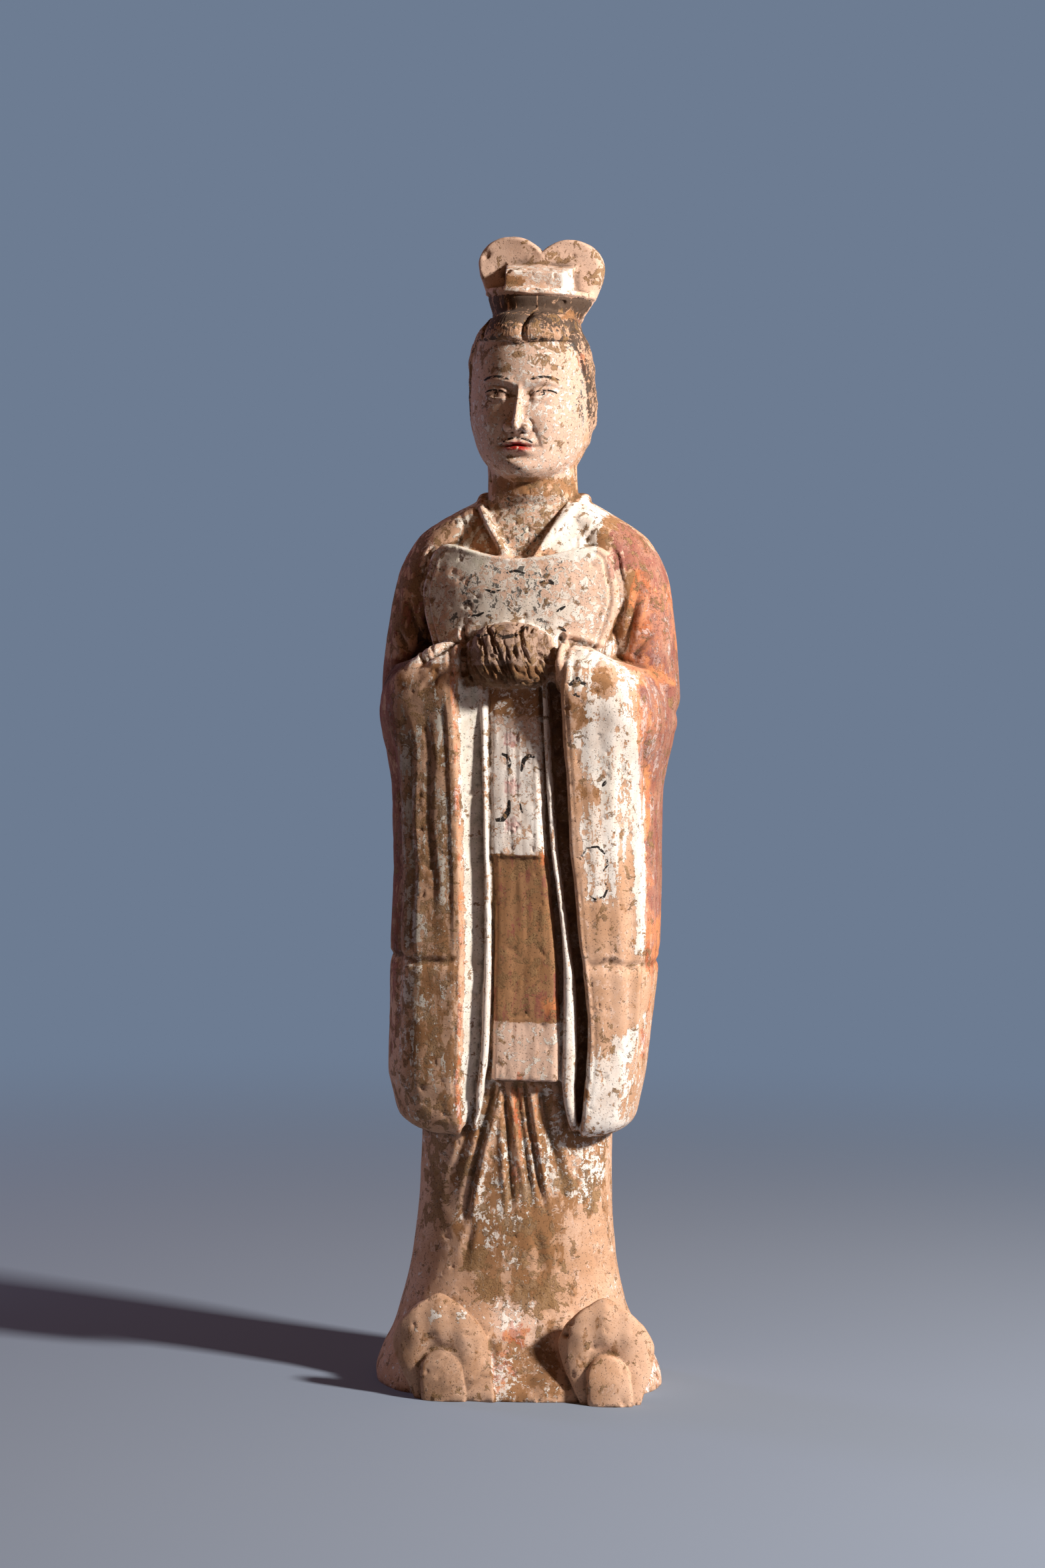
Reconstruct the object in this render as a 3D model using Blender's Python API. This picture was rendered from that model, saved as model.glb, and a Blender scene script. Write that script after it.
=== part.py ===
"""A terracotta court official: a standing tomb figure in a long robe, moulded and fired in one piece.

The figure faces -Y and stands on its flat underside, with the origin on that underside.
Its proportions are shares of its height, which is TOP_LEVEL units. Every number below but HEIGHT counts
in those units, with x across, y in depth (minus is the front) and z up.
Each garment, limb and ornament is a closed form of its own. They are fused into one body of clay, the
folds are then pressed into its skin, and the foot is cut flat.
"""

import math

import bmesh
import bpy
import numpy as np

HEIGHT = 0.908
TOP_LEVEL = 908
UNIT = HEIGHT / TOP_LEVEL

# How finely the clay is fused, and how many faces the finished skin keeps.
GRAIN = 2.2
SKIN_TRIANGLES = 9700
RING_POINTS = 72
RING_SPACING = 5.0

# The main half widths of the figure and the places along its height.
HEM_HALF_WIDTH = 114
WAIST_HALF_WIDTH = 76
ELBOW_HALF_WIDTH = 120
HEAD_HALF_WIDTH = 47.5
CAP_HALF_WIDTH = 51.6
SLEEVE_FOOT = 201
CREASE_LEVEL = 339
HAND_LEVEL = 576
CHIN_LEVEL = 716
HAIRLINE_LEVEL = 822
CAP_FOOT = 840
BELOW_FOOT = 12

# The body turns a little about its upright axis, in degrees, and sways to the side, at each height.
TURN_LEVELS = (0, 60, 209, 269, 344, 426, 579, 744, 854)
TURNS = (8, 8, 6.5, 5.5, 2, -2, -5, -5, -1.5)
SWAY_LEVELS = (0, 60, 154, 204, 244, 334, 404, 484, 560, 700, 735, 795, 815, 832, 843, 862)
SWAYS = (0, -5.5, -5.5, -5.3, -6.6, -1.8, 0, -1.5, -3, -1.2, -3, -3.8, -5.2, -5, -2.2, 0.2)

# The robe under everything: height, half width, depth in front, depth behind.
ROBE = (
    (-BELOW_FOOT, HEM_HALF_WIDTH, 101, 84),
    (5, HEM_HALF_WIDTH, 100, 84),
    (13, HEM_HALF_WIDTH - 2, 95, 82),
    (24, 107, 86, 77),
    (42, 97, 74, 69),
    (65, 88.8, 64, 62),
    (100, 81.2, 57, 58),
    (149, WAIST_HALF_WIDTH + 0.8, 55, 57),
    (194, WAIST_HALF_WIDTH, 59, 58),
    (304, 79, 64, 61),
    (454, 82, 62, 62),
    (564, 85, 56, 61),
    (624, 85, 51, 60),
    (654, 78, 48, 56),
    (676, 62, 43, 50),
    (692, 48, 38, 44),
    (701, 38, 31, 38),
    (706, 32, 26, 34),
)
ROBE_SQUARENESS = 2.4

# One upper arm with its shoulder: height, middle, half width, depth in front, depth behind.
ARM = (
    (528, 98, 16, 20, 36),
    (546, 97, ELBOW_HALF_WIDTH - 97, 26, 43),
    (576, 93, 24.5, 31, 50),
    (614, 85, 27.4, 39, 53),
    (642, 77, 30, 40, 52),
    (661, 67, 30.8, 38, 49),
    (671, 59.6, 30.8, 36, 46),
    (680, 50, 28.0, 34, 42),
    (690, 40, 20.5, 30, 35),
    (698, 34, 12, 22, 26),
)

# One forearm inside its sleeve: x, y, z and radius from elbow to cuff.
FOREARM = (
    (98, 4, 527, 20),
    (88, -28, 539, 21.5),
    (68, -52, 555, 22.5),
    (54, -62, 564, 22),
)

# The clasped hands: height about HAND_LEVEL, half width, depth in front.
HANDS = (
    (-23, 26, 86),
    (-18, 36, 92),
    (-10, 41, 96),
    (6, 41, 97),
    (15, 38, 93),
    (21, 31, 87),
    (25, 20, 79),
)

# One hanging sleeve: height, inner edge, outer edge, depth in front, depth behind, slope of the ring.
SLEEVE = (
    (SLEEVE_FOOT, 45, 74, 58, -22, 0),
    (SLEEVE_FOOT + 4, 43, 85.5, 67, 4, 0),
    (214, 42, 95, 72, 16, 0),
    (230, 42, 99, 75, 24, 0),
    (249, 42, 102.8, 77, 29, 0),
    (294, 42, 104.4, 79, 34, 0),
    (329, 41.5, 106, 80, 37, 0),
    (CREASE_LEVEL, 41.5, 105, 78, 37, 0),
    (352, 41, 106.6, 79, 38, 0),
    (424, 41, 105.5, 78, 40, 0),
    (474, 41, 106.5, 79, 41, -0.10),
    (509, 41, 110.5, 81, 42, -0.30),
    (540, 41, 115, 84, 40, -0.50),
    (562, 41, 117, 87, 36, -0.58),
    (580, 39.5, 115, 87, 24, -0.60),
    (590, 38.5, 110, 83, 4, -0.60),
    (596, 39, 104, 75, -22, -0.60),
)
SLEEVE_ROUND = 2.3
SLEEVE_FALL = 0.15
SLEEVE_LIP_SQUARENESS = 14.0

# How far the +X sleeve's mouth stands further out than the other's, by height.
MOUTH_LEVELS = (SLEEVE_FOOT, 214, 249, 294, 329, 360, 424, 490, 509)
MOUTH_SHIFTS = (6, 9, 13.5, 13.5, 10, 6.5, 2.5, 1, 0)

# The back edge of each sleeve's mouth, a thin upright lip: height, middle, half width, depth in front.
NARROW_LIP = (
    (SLEEVE_FOOT + 5, 34, 3, 64),
    (229, 28, 3.4, 72),
    (264, 24.5, 3.4, 75.5),
    (314, 23.5, 3.2, 76),
    (374, 22.5, 3, 75.5),
    (454, 22, 2.8, 74.5),
    (564, 22, 2.8, 72),
)
BROAD_LIP = (
    (SLEEVE_FOOT + 5, 45, 3.5, 64),
    (229, 42.5, 5.5, 71),
    (264, 41.5, 6.5, 73.5),
    (314, 40.5, 5.5, 74),
    (360, 37, 3, 73.5),
    (424, 31, 2.3, 73),
    (490, 27.8, 2.2, 72.5),
    (564, 25.5, 2.2, 70),
)
LINING_DROP = 15.5

# The long panel between the sleeves, in four lengths from the foot up: height, middle, half width, depth
# in front.
APRON_SQUARENESS = 9.0
APRON_LENGTHS = (
    ((246, 8.2, 26.8, 72.6), (296, 7.8, 26.6, 71.8)),
    ((293, 7.8, 26.2, 72.6), (424, 2.9, 21.8, 71.6)),
    ((421, 2.9, 21.6, 73.8), (534, 2.2, 20.6, 69.4)),
    ((531, 2.2, 20.4, 70.4), (566, 2, 20.2, 67)),
)

# The head and neck: height, half width, depth in front, depth behind, about HEAD_Y.
HEAD_Y = -9
NECK = ((684, 38, 33, 36), (704, 36, 31, 34), (720, 35.5, 30, 34), (749, 36, 30, 36))
HEAD = (
    (CHIN_LEVEL - 3, 14, 36, -8),
    (CHIN_LEVEL + 1, 22, 43, 8),
    (722, 30.5, 47.5, 22),
    (731, 38, 50.5, 34),
    (744, 43.5, 52, 44),
    (762, 47, 53, 50),
    (784, HEAD_HALF_WIDTH, 53, 53),
    (804, HEAD_HALF_WIDTH, 52.5, 53),
    (820, 44, 50.5, 50),
    (833, 37, 45, 44),
    (842, 32, 38, 37),
    (850, 22, 26, 26),
)
NAPE = (
    (728, 31, 2, 38),
    (735, 40, 4, 46),
    (749, 44, 6, 51),
    (779, 46.5, 10, 54),
    (809, 46.5, 8, 53),
    (824, 43, 6, 49),
)
HAIR = (
    (HAIRLINE_LEVEL - 2, 43, 49, 20),
    (HAIRLINE_LEVEL + 3, 42, 54, 30),
    (HAIRLINE_LEVEL + 9, 38.5, 54, 34),
    (HAIRLINE_LEVEL + 15, 34.5, 50, 34),
    (HAIRLINE_LEVEL + 20, 32, 43, 31),
    (HAIRLINE_LEVEL + 24, 24, 34, 26),
)
HEAD_SQUARENESS = 2.15
EYE_LEVEL = 780
NOSE_LEVEL = 751
MOUTH_LEVEL = 739.5
FOREHEAD_LEVEL = 804

# Where the hair's edge runs at the temples.
TEMPLE_Y = -24
TEMPLE_LEVEL = 784
HAIR_FOOT = 738

# The nose: height, half width, how far it stands in front of HEAD_Y.
NOSE = (
    (NOSE_LEVEL - 2, 4.5, 55),
    (NOSE_LEVEL, 6.0, 61),
    (NOSE_LEVEL + 3.5, 6.6, 64),
    (NOSE_LEVEL + 8, 6.0, 63.2),
    (EYE_LEVEL - 12, 4.8, 60),
    (EYE_LEVEL, 4.4, 56),
    (EYE_LEVEL + 9, 5.0, 53),
)

# The cap's band round the topknot: height, half width, depth in front, depth behind.
CAP_BAND = (
    (CAP_FOOT - 8, 30, 30, 25),
    (CAP_FOOT, 33, 34, 26),
    (CAP_FOOT + 8, 36.5, 36.5, 24),
    (CAP_FOOT + 18, 41.5, 39, 22),
    (CAP_FOOT + 23, 42.5, 38, 20),
)
CAP_BOX_HALF_WIDTH = 23.5
CAP_BOX_BACK_HALF_WIDTH = 30
CAP_BOX_FRONT = -34
CAP_BOX_TOP = 878
CAP_BOX_RISE = 11
LOBE_MIDDLE = 24
LOBE_LEVEL = 885
LOBE_FACE = -4
LOBE_BACK = 18
LOBE_FOOT = 872
CAP_TILT = 0.045
LOBE_BEVEL = 6.5

# The vest's chest plate and the lapels.
PLATE_HALF_WIDTH = 78
PLATE_TOP_HALF_WIDTH = 73
PLATE_FOOT_HALF_WIDTH = 64
PLATE_TOP = 663
PLATE_WAIST = 626
PLATE_FOOT = 572
PLATE_DIP = 10
PLATE_CORNER = 16
PLATE_FRONT = 66
PLATE_EDGE = 4.5
BACK_PLATE_HALF_WIDTH = 62
BACK_PLATE_LEVEL = 615
BACK_PLATE_HALF_HEIGHT = 49
BACK_PLATE_ROOT = 10.0
BACK_PLATE_FACE = 64.5
BACK_LEAN_FOOT = 624
BACK_LEAN_TOP = 672
BACK_FOLDS_TOP = 559
NECKLINE_FOOT = 654
NECKLINE_TOP = 700
NECKLINE_HALF_WIDTH = 34

# One shoe: a tall rounded toe plate standing in front of the hem, with a tongue in front of it.
SHOE_X = 64.5
SHOE_SHIFT = 5.5
SHOE_HALF_WIDTH = 37.6
SHOE_TOP = 80
SHOE_WIDEST_LEVEL = 43
SHOE_TOE = 98
SHOE_STEP = 5
SHOE_SOLE = 7
TONGUE_HALF_WIDTH = 17
TONGUE_TOP = 38
TONGUE_TOE = 108

CLAY_COLOUR = (0.56, 0.36, 0.24, 1.0)


def smooth_curve(knots, values, at):
    """Values along a curve through the knots that never swings past them."""
    x, y, at = (np.asarray(a, float) for a in (knots, values, at))
    steps = np.diff(x)
    slopes = np.diff(y) / steps
    same_way = slopes[:-1] * slopes[1:] > 0
    before, after = np.where(same_way, slopes[:-1], 1), np.where(same_way, slopes[1:], 1)
    mean = np.where(same_way, 2 / (1 / before + 1 / after), 0)
    tangents = np.concatenate([slopes[:1], mean, slopes[-1:]])
    i = np.clip(np.searchsorted(x, at) - 1, 0, len(x) - 2)
    t = np.clip((at - x[i]) / steps[i], 0, 1)
    return (
        y[i] * (1 + 2 * t) * (1 - t) ** 2
        + y[i + 1] * t * t * (3 - 2 * t)
        + steps[i] * (tangents[i] * t * (1 - t) ** 2 + tangents[i + 1] * t * t * (t - 1))
    )


def fade(values, start, end):
    """0 at start and 1 at end, with a smooth ramp between."""
    t = np.clip((values - start) / (end - start), 0, 1)
    return t * t * (3 - 2 * t)


def heights_through(table):
    """Evenly spaced heights from the first row of a table to its last."""
    low, high = table[0][0], table[-1][0]
    return np.linspace(low, high, max(4, round((high - low) / RING_SPACING) + 1))


def columns_at(table, heights):
    """Each column of a table after the first, read at the given heights."""
    rows = np.array(table, float)
    return [smooth_curve(rows[:, 0], rows[:, i], heights) for i in range(1, rows.shape[1])]


def ring(half_width, front, back, squareness, inner_squareness=None):
    """One level outline about its middle, from +X round by the back. A second squareness shapes the quarter
    that lies in front on the inner side, at -X."""
    angles = np.linspace(0, 2 * math.pi, RING_POINTS, endpoint=False)
    c, s = np.cos(angles), np.sin(angles)
    power = np.full(RING_POINTS, 2 / squareness)
    if inner_squareness:
        power[(c < 0) & (s < 0)] = 2 / inner_squareness
    x = half_width * np.sign(c) * np.abs(c) ** power
    y = np.where(s > 0, back, front) * np.sign(s) * np.abs(s) ** power
    return x, y


def solid(rings):
    """Points and faces of a closed skin through a stack of rings, with flat ends."""
    count, around = len(rings), len(rings[0])
    i, j = np.meshgrid(np.arange(count - 1), np.arange(around), indexing="ij")
    low, high = i * around, (i + 1) * around
    after = (j + 1) % around
    faces = np.stack([low + j, low + after, high + after, high + j], axis=-1).reshape(-1, 4).tolist()
    faces.append(list(range(around))[::-1])
    faces.append(list(range((count - 1) * around, count * around)))
    return np.concatenate(rings), faces


def upright(table, squareness, middle_x=0.0, middle_y=0.0):
    """A closed form from rows of height, half width, depth in front and depth behind."""
    heights = heights_through(table)
    half_widths, fronts, backs = columns_at(table, heights)
    rings = []
    for z, a, front, back in zip(heights, half_widths, fronts, backs):
        x, y = ring(a, front, back, squareness)
        rings.append(np.column_stack([x + middle_x, y + middle_y, np.full(RING_POINTS, z)]))
    return solid(rings)


def mirrored(form):
    """The same form on the figure's other side."""
    points, faces = form
    return points * (-1, 1, 1), [face[::-1] for face in faces]


def ball(middle, radii):
    """A closed egg with the given half sizes."""
    rings = []
    for angle in np.linspace(-math.pi / 2, math.pi / 2, 24)[1:-1]:
        x, y = ring(radii[0], radii[1], radii[1], 2)
        level = np.full(RING_POINTS, math.sin(angle) * radii[2])
        rings.append(np.column_stack([x * math.cos(angle), y * math.cos(angle), level]) + middle)
    return solid(rings)


def tube(stations):
    """A closed round tube through stations of x, y, z and radius, with rounded ends."""
    rows = np.array(stations, float)
    along = np.concatenate([[0], np.cumsum(np.linalg.norm(np.diff(rows[:, :3], axis=0), axis=1))])
    at = np.linspace(0, along[-1], max(6, round(along[-1] / RING_SPACING)))
    path = np.column_stack([smooth_curve(along, rows[:, i], at) for i in range(3)])
    radii = smooth_curve(along, rows[:, 3], at)
    tangents = np.gradient(path, axis=0)
    tangents /= np.linalg.norm(tangents, axis=1)[:, None]
    first, last = tangents[0] * radii[0], tangents[-1] * radii[-1]
    turn = np.linspace(0, math.pi / 2, 6)[1:-1]
    start = [(path[0] - first * math.cos(a), radii[0] * math.sin(a), tangents[0]) for a in turn]
    end = [(path[-1] + last * math.cos(a), radii[-1] * math.sin(a), tangents[-1]) for a in turn[::-1]]
    stack = start + list(zip(path, radii, tangents)) + end
    angles = np.linspace(0, 2 * math.pi, RING_POINTS, endpoint=False)
    rings = []
    for middle, radius, tangent in stack:
        side = np.cross(tangent, (0, 0, 1))
        side /= np.linalg.norm(side)
        rise = np.cross(side, tangent)
        turn = np.outer(np.cos(angles), side) + np.outer(np.sin(angles), rise)
        rings.append(middle - turn[::-1] * radius)
    return solid(rings)


def spaced(outline):
    """The same closed outline with RING_POINTS points an even way apart."""
    closed = np.vstack([outline, outline[:1]])
    along = np.concatenate([[0], np.cumsum(np.linalg.norm(np.diff(closed, axis=0), axis=1))])
    at = np.linspace(0, along[-1], RING_POINTS, endpoint=False)
    return np.column_stack([np.interp(at, along, closed[:, i]) for i in range(2)])


def slab(outline, front, back, rounding):
    """A closed form with one outline of x and z, between two faces whose y are functions of x and z.
    The edges of both faces are rounded. The outline runs clockwise, seen from the front."""
    outline = spaced(np.array(outline, float))
    middle = (outline.max(axis=0) + outline.min(axis=0)) / 2
    reach = np.abs(outline - middle).max()
    eased = [(1 - math.cos(a), 1 - math.sin(a)) for a in np.linspace(0, math.pi / 2, 5)]
    shares = [0.05, 0.25, 0.45, 0.65, 0.82] + [1 - rounding * drop / reach for _, drop in eased]
    sinks = [0.0] * 5 + [rounding * sink for sink, _ in eased]
    faces_of = []
    for face, way in ((back, -1), (front, 1)):
        stack = []
        for share, sink in zip(shares, sinks):
            x, z = (middle + (outline - middle) * share).T
            stack.append(np.column_stack([x, face(x, z) + way * sink, z]))
        faces_of.append(stack)
    return solid(faces_of[1] + faces_of[0][::-1])


def sleeve(opened):
    """One wide sleeve hanging from the forearm to below the knee, with a square edge beside the apron from
    which its front falls back toward the outside; an opened one's mouth stands further out."""
    heights = heights_through(SLEEVE)
    inners, outers, fronts, backs, slopes = columns_at(SLEEVE, heights)
    inners = inners + opened * np.interp(heights, MOUTH_LEVELS, MOUTH_SHIFTS)
    rings = []
    for z, inner, outer, front, back, slope in zip(heights, inners, outers, fronts, backs, slopes):
        x, y = ring((outer - inner) / 2, front, back, SLEEVE_ROUND, SLEEVE_LIP_SQUARENESS)
        y = np.where(y < 0, y * (1 - SLEEVE_FALL * (0.5 + x / (outer - inner))), y)
        rings.append(np.column_stack([x + (inner + outer) / 2, y, z + slope * (x + outer - inner) / 2]))
    return solid(rings)


def sleeve_lip(table):
    """The back edge of one sleeve's mouth, a thin wall beside the apron that meets the front edge below."""
    heights = heights_through(table)
    rings = []
    for z, middle, half_width, front in zip(heights, *columns_at(table, heights)):
        x, y = ring(half_width, front, 0, 5)
        rings.append(np.column_stack([x + middle, y, np.full(RING_POINTS, z)]))
    return solid(rings)


def lining():
    """The lining inside one sleeve's mouth, sloping back from the front edge to the thin lip."""
    heights = heights_through(NARROW_LIP)[1:-1]
    lips = columns_at(NARROW_LIP, heights)[0] - 1
    inners, _, fronts = columns_at(SLEEVE, heights)[:3]
    share = np.linspace(0, 1, RING_POINTS // 2)
    rings = []
    for z, edge, front, lip in zip(heights, inners + 2, fronts - 2.5, lips):
        x = edge + (lip - edge) * share
        y = LINING_DROP * share**0.7 - front
        outline_x = np.concatenate([x, x[::-1]])
        outline_y = np.concatenate([y, np.full(len(x), -40.0)])
        rings.append(np.column_stack([outline_x, outline_y, np.full(len(outline_x), z)]))
    return solid(rings)


def arm():
    """One upper arm with its shoulder."""
    heights = heights_through(ARM)
    rings = []
    for z, middle, a, front, back in zip(heights, *columns_at(ARM, heights)):
        x, y = ring(a, front, back, 2.1)
        rings.append(np.column_stack([x + middle, y, np.full(RING_POINTS, z)]))
    return solid(rings)


def plate_front(x, z):
    """The chest plate's face, curved round the chest."""
    return -(PLATE_FRONT - 20 * (np.abs(x) / PLATE_HALF_WIDTH) ** 2.4 - 5 * fade(z, PLATE_WAIST, PLATE_TOP))


def plate_outline():
    """The chest plate's outline: rounded upper corners, a dipped top edge, sides drawn in at the waist."""
    corner_x = PLATE_TOP_HALF_WIDTH - PLATE_CORNER
    top = [(s * corner_x, PLATE_TOP - PLATE_DIP * (1 - s * s) ** 1.5) for s in np.linspace(-1, 1, 13)]
    right = []
    for a in np.linspace(0, math.pi / 2, 8)[1:]:
        right.append((corner_x + PLATE_CORNER * math.sin(a), PLATE_TOP - PLATE_CORNER * (1 - math.cos(a))))
    levels = np.linspace(PLATE_TOP - PLATE_CORNER, PLATE_FOOT, 12)[1:]
    side = smooth_curve(
        (PLATE_FOOT, PLATE_WAIST, PLATE_TOP - PLATE_CORNER),
        (PLATE_FOOT_HALF_WIDTH, PLATE_HALF_WIDTH, PLATE_TOP_HALF_WIDTH),
        levels,
    )
    right += list(zip(side, levels))
    return top + right + [(-x, z) for x, z in right[::-1]]


def chest_plate():
    """The vest's front plate."""
    return slab(plate_outline(), plate_front, lambda x, z: np.full_like(x, -10.0), PLATE_EDGE)


def back_plate():
    """The vest's plate behind, plainer and thinner than the one in front."""
    half = BACK_PLATE_HALF_WIDTH

    def back_face(x, z):
        """How far back the plate stands: rounded across, and leaning in toward the neck."""
        return BACK_PLATE_FACE - 15 * (np.abs(x) / half) ** 2.2 - 11 * fade(z, BACK_LEAN_FOOT, BACK_LEAN_TOP)

    outline = []
    for a in np.linspace(0, 2 * math.pi, RING_POINTS, endpoint=False)[::-1]:
        across, rise = math.cos(a), math.sin(a)
        outline.append((
            half * math.copysign(abs(across) ** 0.4, across),
            BACK_PLATE_LEVEL + BACK_PLATE_HALF_HEIGHT * math.copysign(abs(rise) ** 0.4, rise),
        ))
    return slab(
        outline,
        lambda x, z: np.full_like(x, BACK_PLATE_ROOT),
        back_face,
        3,
    )


def apron():
    """The long panel in front, each length standing a little over or under the next."""
    lengths = []
    for table in APRON_LENGTHS:
        heights = heights_through(table)
        rings = []
        for z, middle, half_width, front in zip(heights, *columns_at(table, heights)):
            x, y = ring(half_width, front, -20, APRON_SQUARENESS)
            rings.append(np.column_stack([x + middle, y, np.full(RING_POINTS, z)]))
        lengths.append(solid(rings))
    return lengths


def lapel():
    """One lapel of the crossed collar, a rolled band from behind the neck down to the neckline's foot."""
    return tube(
        (
            (8, 32, NECKLINE_TOP + 3, 4),
            (30, 23, NECKLINE_TOP + 2, 4.5),
            (40.5, -3, NECKLINE_TOP, 5),
            (36.5, -25, NECKLINE_TOP - 8, 5),
            (24, -41, NECKLINE_TOP - 26, 4.8),
            (9, -51, NECKLINE_FOOT - 3, 4),
        )
    )


def nose():
    """The bridge, tip and wings of the nose."""
    wing = ball((5.8, HEAD_Y - 56.5, NOSE_LEVEL + 2.5), (3.6, 4.6, 3.4))
    bridge = upright([(z, a, front, 0) for z, a, front in NOSE], 2.2, middle_y=HEAD_Y)
    return [bridge, wing, mirrored(wing)]


def head():
    """Neck, skull, the hair gathered behind it, and the ears."""
    ear = ball((HEAD_HALF_WIDTH - 2.5, 1, EYE_LEVEL - 7), (4.5, 9, 17))
    return [
        hair(),
        upright(NECK, 2, middle_y=HEAD_Y + 1),
        upright(HEAD, HEAD_SQUARENESS, middle_y=HEAD_Y),
        upright(NAPE, HEAD_SQUARENESS, middle_y=HEAD_Y),
        ear,
        mirrored(ear),
    ]


def hair():
    """The hair swept up from the forehead and in under the cap."""
    return upright(HAIR, 2.1, middle_y=HEAD_Y)


def cap_lobes():
    """The two rounded lobes that stand up at the back of the cap and meet in a notch, wider behind at +X."""
    reach = CAP_HALF_WIDTH - LOBE_MIDDLE
    rise = TOP_LEVEL - LOBE_LEVEL
    notch = math.acos(-LOBE_MIDDLE / reach)
    turn = np.linspace(notch, 0, 20)
    right = [(LOBE_MIDDLE + reach * math.cos(a), LOBE_LEVEL + rise * math.sin(a)) for a in turn]
    right += [(CAP_HALF_WIDTH - 1.5, LOBE_FOOT + 4), (44, 862), (36.5, CAP_FOOT + 7), (31, CAP_FOOT - 2)]
    left = [(-x, z) for x, z in right[::-1]]
    points, faces = slab(
        right + left[:-1],
        lambda x, z: LOBE_FACE + 4 * (np.abs(x) / CAP_HALF_WIDTH) ** 2 + 3 * fade(z, LOBE_FOOT, TOP_LEVEL),
        lambda x, z: LOBE_BACK - 5 * (np.abs(x) / CAP_HALF_WIDTH) ** 2 + 0 * z,
        3.5,
    )
    toward_front = np.clip((LOBE_BACK - points[:, 1]) / (LOBE_BACK - LOBE_FACE), 0, 1)
    points[:, 0] -= LOBE_BEVEL * toward_front * fade(points[:, 0], 20, CAP_HALF_WIDTH)
    return points, faces


def cap_box():
    """The low box on the front of the cap, wider behind, its top sloping up to the lobes."""
    front, back = CAP_BOX_HALF_WIDTH, CAP_BOX_BACK_HALF_WIDTH
    low = CAP_FOOT + 12
    corners = ((-front, CAP_BOX_FRONT), (front, CAP_BOX_FRONT), (back, 4), (-back, 4))
    foot = [(x, y, low) for x, y in corners]
    top = [(x * 0.97, y, CAP_BOX_TOP + (CAP_BOX_RISE if y > 0 else 0)) for x, y in corners]
    return solid([np.array(foot), np.array(top)])


def cap():
    """The official's cap: a flared band, a low box on its front and two rounded lobes behind."""
    return [upright(CAP_BAND, 2.3), cap_lobes(), cap_box()]


def shoe_front(x, z, toe):
    """The toe plate's face: one dome above, a shallow hollow down its middle below, edges swept back, the
    whole leaning back."""
    across = np.clip(np.abs(x - SHOE_X) / SHOE_HALF_WIDTH, 0, 1)
    lean = toe - 11 * fade(z, 10, SHOE_TOP + 15)
    cheeks = 2 * np.exp(-(((across - 0.55) / 0.3) ** 2)) * (1 - fade(z, 48, 70))
    hollow = 4 * np.exp(-((across / 0.4) ** 2)) * (1 - fade(z, 30, 56))
    dome = 4 * (1 - across**2) * fade(z, 36, 56)
    return -(lean + cheeks + dome - hollow - 10 * across**3.0 - 7 * fade(z, SHOE_TOP - 14, SHOE_TOP + 4))


def shoe(toe):
    """One shoe: its tall toe plate, the tongue in front of it and the body behind."""
    rise = SHOE_TOP - SHOE_WIDEST_LEVEL
    shape = []
    for a in np.linspace(math.pi, 0, 24):
        across = math.copysign(abs(math.cos(a)) ** 1.4, math.cos(a))
        shape.append((across, SHOE_WIDEST_LEVEL + rise * abs(math.sin(a)) ** 1.4))
    side = [(0.98, 36), (0.9, 25), (0.75, 12), (0.62, 0), (0.54, -BELOW_FOOT)]
    shape += side + [(-x, z) for x, z in side[::-1]]

    def plate_back(x, z):
        across = (x - SHOE_X) / SHOE_HALF_WIDTH
        return -(toe - SHOE_SOLE - 11 * fade(z, 10, SHOE_TOP + 15) - 10 * across**2)

    outline = [(SHOE_X + x * SHOE_HALF_WIDTH, z) for x, z in shape]
    plate = slab(outline, lambda x, z: shoe_front(x, z, toe), plate_back, 2)
    body = ball((SHOE_X, -(toe - 48), 26), (27, 38, 36))
    half = TONGUE_HALF_WIDTH
    lobe = [(math.cos(a), TONGUE_TOP - half + half * math.sin(a)) for a in np.linspace(math.pi, 0, 20)]
    lobe += [(1.04, 8), (1.0, -BELOW_FOOT), (-1.0, -BELOW_FOOT), (-1.04, 8)]

    def tongue_front(x, z):
        across = (x - SHOE_X) / half
        return -(toe + TONGUE_TOE - SHOE_TOE - 3 * across**2 - 7 * fade(z, 14, TONGUE_TOP + 4))

    tongue = slab(
        [(SHOE_X + x * half, z) for x, z in lobe], tongue_front, lambda x, z: np.full_like(x, -60.0), 3.5
    )
    return [plate, tongue, body]


def hands():
    """The clasped hands, wrapped in cloth."""
    return upright([(HAND_LEVEL + rise, half, front, -40) for rise, half, front in HANDS], 2.6)


def forms():
    """Every closed form of the figure, before they are fused."""
    one_side = [arm(), tube(FOREARM), lapel()]
    both_sides = one_side + [mirrored(form) for form in one_side]
    sleeves = [sleeve(1.0), mirrored(sleeve(0.0))]
    mouths = [sleeve_lip(BROAD_LIP), mirrored(sleeve_lip(NARROW_LIP)), mirrored(lining())]
    shoes = shoe(SHOE_TOE + SHOE_STEP) + [mirrored(form) for form in shoe(SHOE_TOE - SHOE_STEP)]
    shoes = [(points + (SHOE_SHIFT, 0, 0), faces) for points, faces in shoes]
    middle = [upright(ROBE, ROBE_SQUARENESS), chest_plate(), back_plate(), *apron(), hands()]
    return both_sides + sleeves + mouths + shoes + middle + head() + nose() + cap()


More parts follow.
